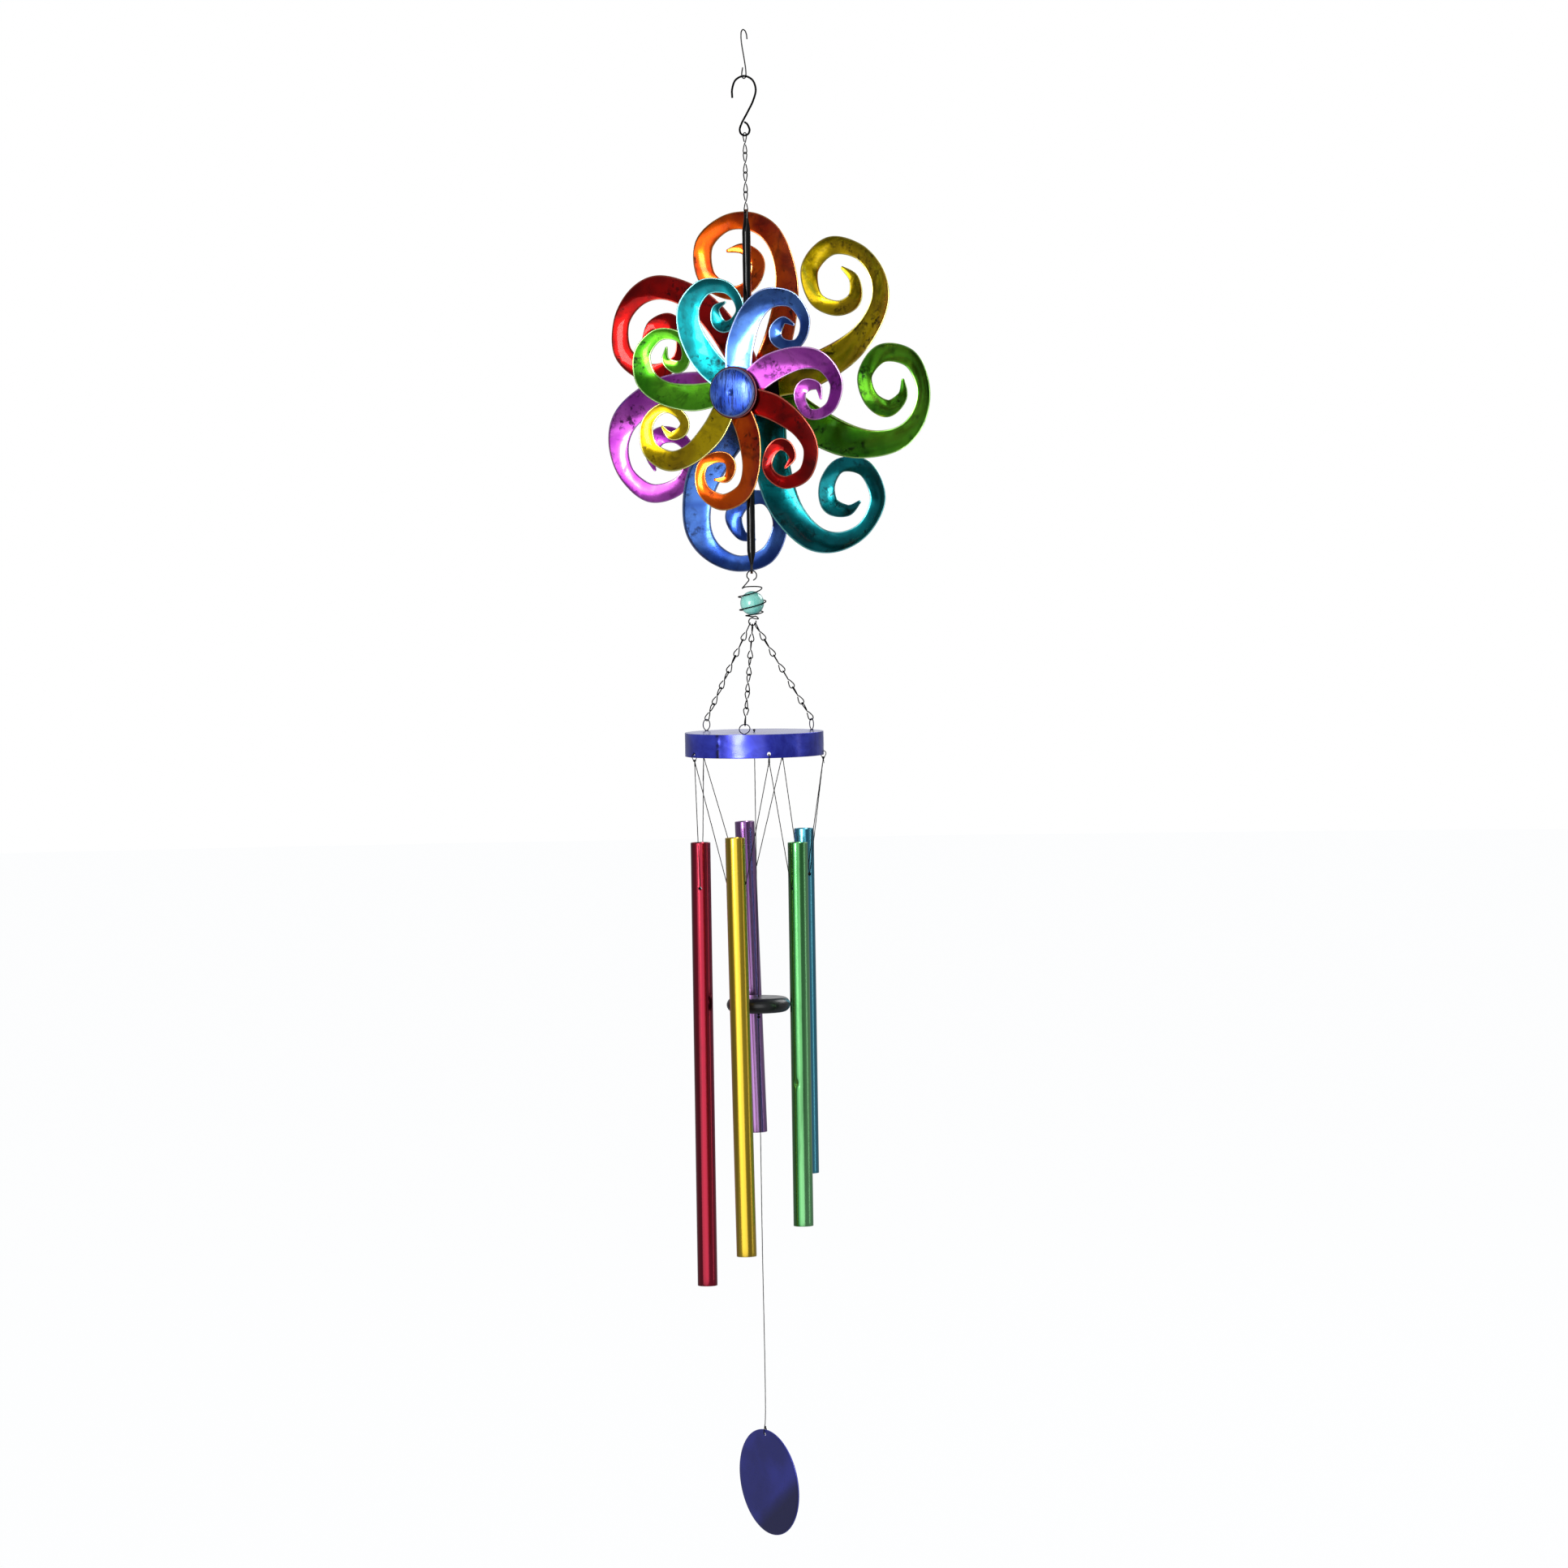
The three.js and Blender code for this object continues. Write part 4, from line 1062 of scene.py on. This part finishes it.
def caged_marble(black, glass):
    stand_in("cage", wire(cage_line(), 0.6, CAGE_SHOWN, 10), black, 60)
    stand_in("marble", marble_shape(), glass, 80)


# ---------------- chime pan
def seam_share(angle):
    """How much a place round the pan belongs to the soldered seam, 0 to 1."""
    away = (math.degrees(angle) - SEAM_ANGLE + 180) % 360 - 180
    return math.exp(-(away / 1.6) ** 2)


def pan_shape():
    """A round lid with a band, a little dented all round and lumpy with solder at its seam."""
    bottom = PAN_TOP - PAN_HEIGHT
    inside = PAN_RADIUS - PAN_SHEET
    rows = 12
    profile = [
        (0, PAN_TOP - PAN_SHEET), (inside, PAN_TOP - PAN_SHEET), (inside, bottom), (PAN_RADIUS, bottom),
        *[(PAN_RADIUS, bottom + PAN_HEIGHT * k / rows) for k in range(1, rows)],
        (PAN_RADIUS, PAN_TOP), (PAN_RADIUS * 0.97, PAN_TOP), (PAN_RADIUS * 0.5, PAN_TOP), (0, PAN_TOP),
    ]

    def dents(angle, r, z):
        if r < PAN_RADIUS - 0.1:
            return 0.0
        around = Vector((math.cos(angle) * 3, math.sin(angle) * 3, z * 0.12))
        solder = seam_share(angle) * (0.35 + 0.5 * noise.noise(around * 2.3))
        return -0.28 * abs(noise.noise(around)) + solder * 0.8

    return lathe(rounded(profile, 0.4, 3), 360, dents)


def pan_eye(angle, lean):
    """A ring with its two legs through the lid, spread under it like a split pin."""
    middle = eye_rim(angle, lean, 1)
    up = (eye_rim(angle, lean, 2) - middle) / EYE_RADIUS
    side = polar(1, angle + 90, 0)
    ring = []
    for i in range(13):
        turn = math.radians(-80 + 340 * i / 12)
        ring.append(middle + side * EYE_RADIUS * math.cos(turn) + up * EYE_RADIUS * math.sin(turn))
    low = PAN_TOP - PAN_SHEET
    foot = [(4.6, low - 0.9), (2.8, low - 1.0), (0.9, low - 0.8)]
    foot += [(EYE_SHOWN, low + 0.2), (EYE_SHOWN, PAN_TOP)]
    near = [polar(EYE_CIRCLE, angle, z) + side * u for u, z in foot]
    away = [polar(EYE_CIRCLE, angle, z) - side * u for u, z in reversed(foot)]
    split_pin = wire([*near, *ring[1:-1], *away], 0.5, EYE_SHOWN, 10)
    collar = lathe(rounded([(0.3, -0.4), (1.5, -0.4), (1.5, 0.2), (0.3, 0.2)], 0.2, 3), 24)
    return joined(split_pin, moved(collar, Matrix.Translation(polar(EYE_CIRCLE, angle, PAN_TOP + 0.4))))


def knot(centre, radius, yaw, tail):
    """An overhand knot of twine with a cut tail hanging from it."""
    trefoil = []
    for i in range(24):
        t = 2 * math.pi * i / 24
        x = (math.sin(t) + 2 * math.sin(2 * t)) / 3
        y = (math.cos(t) - 2 * math.cos(2 * t)) / 3
        trefoil.append(Vector((x, -math.sin(3 * t) * 0.45, y)) * radius)
    turn = Matrix.Translation(centre) @ Matrix.Rotation(math.radians(yaw), 4, "Z")
    ball = moved(sweep(through(trefoil, 0.3, True), STRING_RADIUS * 0.95, 8, True), turn)
    # The yaw only seeds this bend, so that each knot's tail goes its own way.
    bend = Vector((math.sin(yaw), math.cos(yaw * 2.3), 0)) * 0.12 * tail
    line = [centre, centre - UP * 0.35 * tail + bend * 0.4, centre - UP * tail + bend]
    return joined(ball, twisted(line, 0.5, STRING_RADIUS * 0.9, 8))


def hang_loop(angle, tail):
    """String through the pan's hole and round its lower edge, tied just below it."""
    ring = [(0, KNOT_Z), (-1.5, -603.9), (-2.3, LOOP_Z), (-1.7, -600.2), (0, PAN_HOLE_Z - 0.2),
            (1.7, -600.2), (2.3, LOOP_Z), (1.5, -603.9), (0, KNOT_Z)]
    line = [polar(LOOP_CIRCLE + u, angle, z) for u, z in ring]
    return joined(twisted(line, 0.4), knot(polar(LOOP_CIRCLE, angle, KNOT_Z), 1.05, angle, tail))


def chime_pan(pan, violet, black, string):
    pins = []
    for one in TUBES.values():
        ends = [polar(PAN_RADIUS + past, one["angle"] + NEXT_LOOP, PAN_HOLE_Z) for past in (-4, 4)]
        pins.append((*ends, PAN_HOLE_RADIUS))
    for place in [*(polar(EYE_CIRCLE, a, 0) for a in EYE_ANGLES.values()), Vector()]:
        pins.append((place + UP * (PAN_TOP - 4), place + UP * (PAN_TOP + 4), 1))
    piece = stand_in("pan", pan_shape(), pan, 35, pins)
    seam = []
    for v in piece.data.vertices:
        outside = math.hypot(v.co.x, v.co.y) > (PAN_RADIUS - 0.5) * MM
        seam.append(seam_share(math.atan2(v.co.y, v.co.x)) if outside else 0)
    set_attribute(piece, "seam", seam)
    shifts = {"right": LEG_SPREAD, "left": -LEG_SPREAD, "front": 0}
    twists = {"right": 30, "left": -30, "front": 90}
    for side, angle in EYE_ANGLES.items():
        lean = EYE_LEANS[side]
        stand_in(f"pan_eye_{side}", pan_eye(angle, lean), violet, 60)
        stand_in(f"leg_chain_{side}", leg(angle, lean, shifts[side], twists[side]), black, 60)
    for colour, one in TUBES.items():
        tail = LONG_TAIL if colour == "purple" else SHORT_TAIL
        stand_in(f"hang_loop_{colour}", hang_loop(one["angle"] + NEXT_LOOP, tail), string, 80)


# ---------------- tubes and strings
def tube_place(one):
    lean = Matrix.Rotation(math.radians(one["lean"]), 4, "X")
    out = Matrix.Translation((TUBE_CIRCLE, one["shift"], one["top"] - TUBE_HOLE_DROP))
    return Matrix.Rotation(math.radians(one["angle"]), 4, "Z") @ out @ lean


def tube_shape(one):
    """A thin tube hanging from its string holes, with any knock it has taken below one of them."""
    inside = TUBE_RADIUS - TUBE_WALL
    bottom = TUBE_HOLE_DROP - one["length"]
    dent_z = TUBE_HOLE_DROP - one.get("dent", 0)
    heights = [bottom + one["length"] * k / TUBE_ROWS for k in range(TUBE_ROWS + 1)]
    if "dent" in one:
        heights = [z for z in heights if abs(z - dent_z) > 2 * DENT_REACH]
        heights = sorted([*heights, *(dent_z + DENT_REACH * k / 4 for k in range(-8, 9))])

    def dent(angle, r, z):
        """Zero but near the knock, on the outside."""
        if "dent" not in one or r < TUBE_RADIUS:
            return 0.0
        around = TUBE_RADIUS * ((angle - math.radians(DENT_YAW) + math.pi) % (2 * math.pi) - math.pi)
        return -DENT_DEPTH * math.exp(-(around ** 2 + ((z - dent_z) * 0.7) ** 2) / DENT_REACH ** 2)

    outer = [(TUBE_RADIUS, z) for z in heights]
    profile = rounded([(inside, bottom), *outer, (inside, TUBE_HOLE_DROP)], 0.28, 3)
    return moved(lathe(profile, 72, dent), tube_place(one))


def string_line(one):
    """From one knot down through the tube's two holes and up to the next knot."""
    side = polar(1, one["angle"] + 90, 0)
    centre = polar(TUBE_CIRCLE, one["angle"], one["top"] - TUBE_HOLE_DROP) + side * one["shift"]
    halves = []
    for sign in (-1, 1):
        knot_at = polar(LOOP_CIRCLE, one["angle"] + sign * NEXT_LOOP, KNOT_Z)
        edge = centre + side * sign * (TUBE_RADIUS + 0.35)
        halves.append([
            knot_at, knot_at.lerp(edge, 0.5), edge.lerp(knot_at, 0.02), edge,
            centre + side * sign * (TUBE_RADIUS - 1.2), centre + side * sign * 3,
        ])
    return through([*halves[0], *reversed(halves[1])], 1.2)


def cord_piece(node, line, shapes, string):
    """A cord of twine along the line, with any knots."""
    piece = stand_in(node, sweep(line, STRING_RADIUS, 9, **TWINE), string, 80)
    for k, shape in enumerate(shapes):
        show(f"{node}_knot_{k + 1}", make_mesh("knot", shape), node, string, 80)


def tubes(dyes, string):
    for colour, one in TUBES.items():
        place = tube_place(one)
        pins = [(place @ Vector((0, -12, 0)), place @ Vector((0, 12, 0)), TUBE_HOLE_RADIUS)]
        stand_in(f"tube_{colour}", tube_shape(one), dyes[colour], 40, pins)
        cord_piece(f"string_{colour}", string_line(one), [], string)


# ---------------- striker and sail
def striker_shape():
    """A disc with a bullnose edge and a narrow bore for the cord."""
    half = STRIKER_THICK / 2
    profile = [Vector((0.8, -half))]
    for i in range(25):
        angle = math.radians(-90 + 7.5 * i)
        profile.append(Vector((STRIKER_RADIUS - half * (1 - math.cos(angle)), half * math.sin(angle))))
    profile.append(Vector((0.8, half)))
    return moved(lathe(profile, 96), Matrix.Translation(UP * STRIKER_Z))


def sail_place():
    lean = Matrix.Rotation(math.radians(SAIL_LEAN), 4, "Y")
    return Matrix.Translation((0, 0, SAIL_HOLE_Z)) @ Matrix.Rotation(math.radians(SAIL_YAW), 4, "Z") @ lean


def sail_shape():
    half = SAIL_SHEET / 2
    rows = [SAIL_RADIUS * k / 10 for k in range(1, 11)]
    front = [(r, -half) for r in rows]
    back = [(r, half) for r in reversed(rows)]
    flat = lathe(rounded([(0, -half), *front, *back, (0, half)], 0.45, 3), 120)
    stand = Matrix.Translation(UP * (SAIL_HOLE_INSET - SAIL_RADIUS)) @ Matrix.Rotation(math.pi / 2, 4, "Y")
    return moved(flat, sail_place() @ stand)


def sail_marks(piece):
    """Marks the sail's rim, and its lower right part, which is darkened with painted shade."""
    centre = sail_place() @ (UP * (SAIL_HOLE_INSET - SAIL_RADIUS)) * MM
    along = polar(1, SAIL_YAW + 90, 0)
    rim, low = [], []
    for v in piece.data.vertices:
        away = (v.co - centre) / MM
        rim.append(share(away.length, SAIL_RADIUS - 1, SAIL_RADIUS - 0.2))
        # low: how far a point lies in the lower right part that gets painted shade.
        low.append(share(0.636 * away.dot(along) - away.z, 15, 30))
    set_attribute(piece, "rim", rim)
    set_attribute(piece, "low", low)


def clapper(striker, sail, string):
    under = STRIKER_Z - STRIKER_THICK / 2
    upper = [polar(0, 0, z) for z in (PAN_TOP + 1.6, -700, under - 1.4)]
    knots = [knot(UP * (PAN_TOP + 1.2), 0.8, 40, -0.8), knot(UP * (under - 1.6), 1.2, 10, 1.5)]
    cord_piece("cord_upper", through(upper, 2.5), knots, string)
    stand_in("striker", striker_shape(), striker, 60)
    hole = SAIL_HOLE_Z
    loop = [(0.9, 5), (1.5, 2), (1.0, 0.3), (0, 0), (-1.3, 0.6), (-1.5, 3), (-0.6, 5.6)]
    lower = [polar(0, 0, z) for z in (under - 4.6, -1000, hole + 9)]
    lower += standing([(u, hole + z) for u, z in loop], SAIL_YAW)
    knots = [knot(UP * (under - 4.6), 1.2, 70, -1.5), knot(UP * (hole + 6), 1.1, 120, 6)]
    cord_piece("cord_lower", through(lower, 2.5), knots, string)
    pins = [(polar(-3, SAIL_YAW, hole), polar(3, SAIL_YAW, hole), 1.4)]
    sail_marks(stand_in("sail", sail_shape(), sail, 40, pins))


# ---------------- studio
def studio():
    """A dim even room that only the camera sees as white, a pale floor and the softboxes."""
    scene = bpy.context.scene
    scene.view_settings.view_transform = "Standard"
    world = bpy.data.worlds.new("studio")
    scene.world = world
    world.use_nodes = True
    nodes, links = world.node_tree.nodes, world.node_tree.links
    room = nodes["Background"]
    fill(room, Color=(0.9, 0.94, 1.0, 1), Strength=0.26)
    seen = nodes.new("ShaderNodeBackground")
    fill(seen, Color=(1, 1, 1, 1), Strength=1.0)
    path, choose = nodes.new("ShaderNodeLightPath"), nodes.new("ShaderNodeMixShader")
    links.new(path.outputs["Is Camera Ray"], choose.inputs[0])
    links.new(room.outputs[0], choose.inputs[1])
    links.new(seen.outputs[0], choose.inputs[2])
    links.new(choose.outputs[0], nodes["World Output"].inputs["Surface"])
    lay_floor()
    for name, values in SOFTBOXES.items():
        softbox(name, *values)


def lay_floor():
    """A wide pale disc below the sail, evenly lit so that it meets the white background softly."""
    pale = bpy.data.materials.new("floor_pale")
    pale.use_nodes = True
    fill(pale.node_tree.nodes["Principled BSDF"], Base_Color=(0.02, 0.02, 0.02, 1), Roughness=1.0,
         Specular_IOR_Level=0.0, Emission_Color=(0.99, 0.995, 1, 1), Emission_Strength=0.985)
    bpy.ops.mesh.primitive_circle_add(
        vertices=160, radius=12, fill_type="NGON", location=(0, 0, cad_box[0].z - 0.12))
    floor = bpy.context.object
    floor.name = "floor"
    floor.data.materials.append(pale)
    floor.visible_glossy = False
    floor.visible_diffuse = False


def facing(azimuth, elevation):
    """The way from the sculpture to what stands at that azimuth and elevation."""
    a, e = math.radians(azimuth), math.radians(elevation)
    return Vector((math.sin(a) * math.cos(e), -math.cos(a) * math.cos(e), math.sin(e)))


def softbox(name, azimuth, elevation, distance, wide, tall, watts):
    """A soft rectangular light that looks at the sculpture's middle."""
    light = bpy.data.lights.new(name, "AREA")
    light.shape = "RECTANGLE"
    light.size, light.size_y = wide, tall
    light.energy = watts
    lamp = placed(name, light)
    back = facing(azimuth, elevation)
    lamp.location = UP * LOOK_AT_Z + back * distance
    lamp.rotation_euler = (-back).to_track_quat("-Z", "Y").to_euler()
    lamp.visible_camera = False


def camera():
    toward = facing(AZIMUTH, ELEVATION)
    right = polar(1, AZIMUTH, 0)
    upward = toward.cross(right)
    aim = UP * LOOK_AT_Z + right * LOOK_AT_SIDE
    roll = math.radians(ROLL)
    data = bpy.data.cameras.new("camera")
    data.lens = LENS
    data.sensor_width = 36
    data.clip_end = 60
    eye = placed("camera", data)
    turn = Matrix((
        right * math.cos(roll) - upward * math.sin(roll), right * math.sin(roll) + upward * math.cos(roll),
        toward,
    )).transposed()
    eye.matrix_world = Matrix.Translation(aim + toward * DISTANCE) @ turn.to_4x4()
    bpy.context.scene.camera = eye


def build():
    camera()
    studio()
    black = enamel("wire_black_enamel", "030304", "0a0a0c", 0.55, 0.0, coat=0.0, gloss=0.06)
    string = twine()
    hooks_and_chain(bare_wire(), black)
    rod_paint = rod_gloss()
    steel = enamel("fastener_steel", "6b6d70", "3a3c3f", 0.34, 1.0, 240, 0.2, 0.0)
    hub_black = enamel("hub_black", "0c0d10", "3b3f46", 0.3, 0.5, 160)
    crimson = enamel("hub_crimson", "4a0a18", "8a2436", 0.3, 0.7, 160)
    spindle(rod_paint, steel, hub_black, crimson, brushed_cap())
    paints = {colour: candy_paint(f"candy_{colour}", *tones) for colour, tones in PAINTS.items()}
    petals("front", FRONT, FRONT_COLOURS, paints)
    petals("rear", REAR, REAR_COLOURS, paints)
    caged_marble(black, aqua_glass())
    pan = pan_paint()
    violet = enamel("eye_violet_enamel", "12103a", "2c2a78", 0.3, 0.3, 300, coat=0.1, gloss=0.3)
    chime_pan(pan, violet, black, string)
    tubes({colour: anodised(f"anodised_{colour}", *tones) for colour, tones in DYES.items()}, string)
    clapper(striker_finish(), sail_paint(), string)


build()
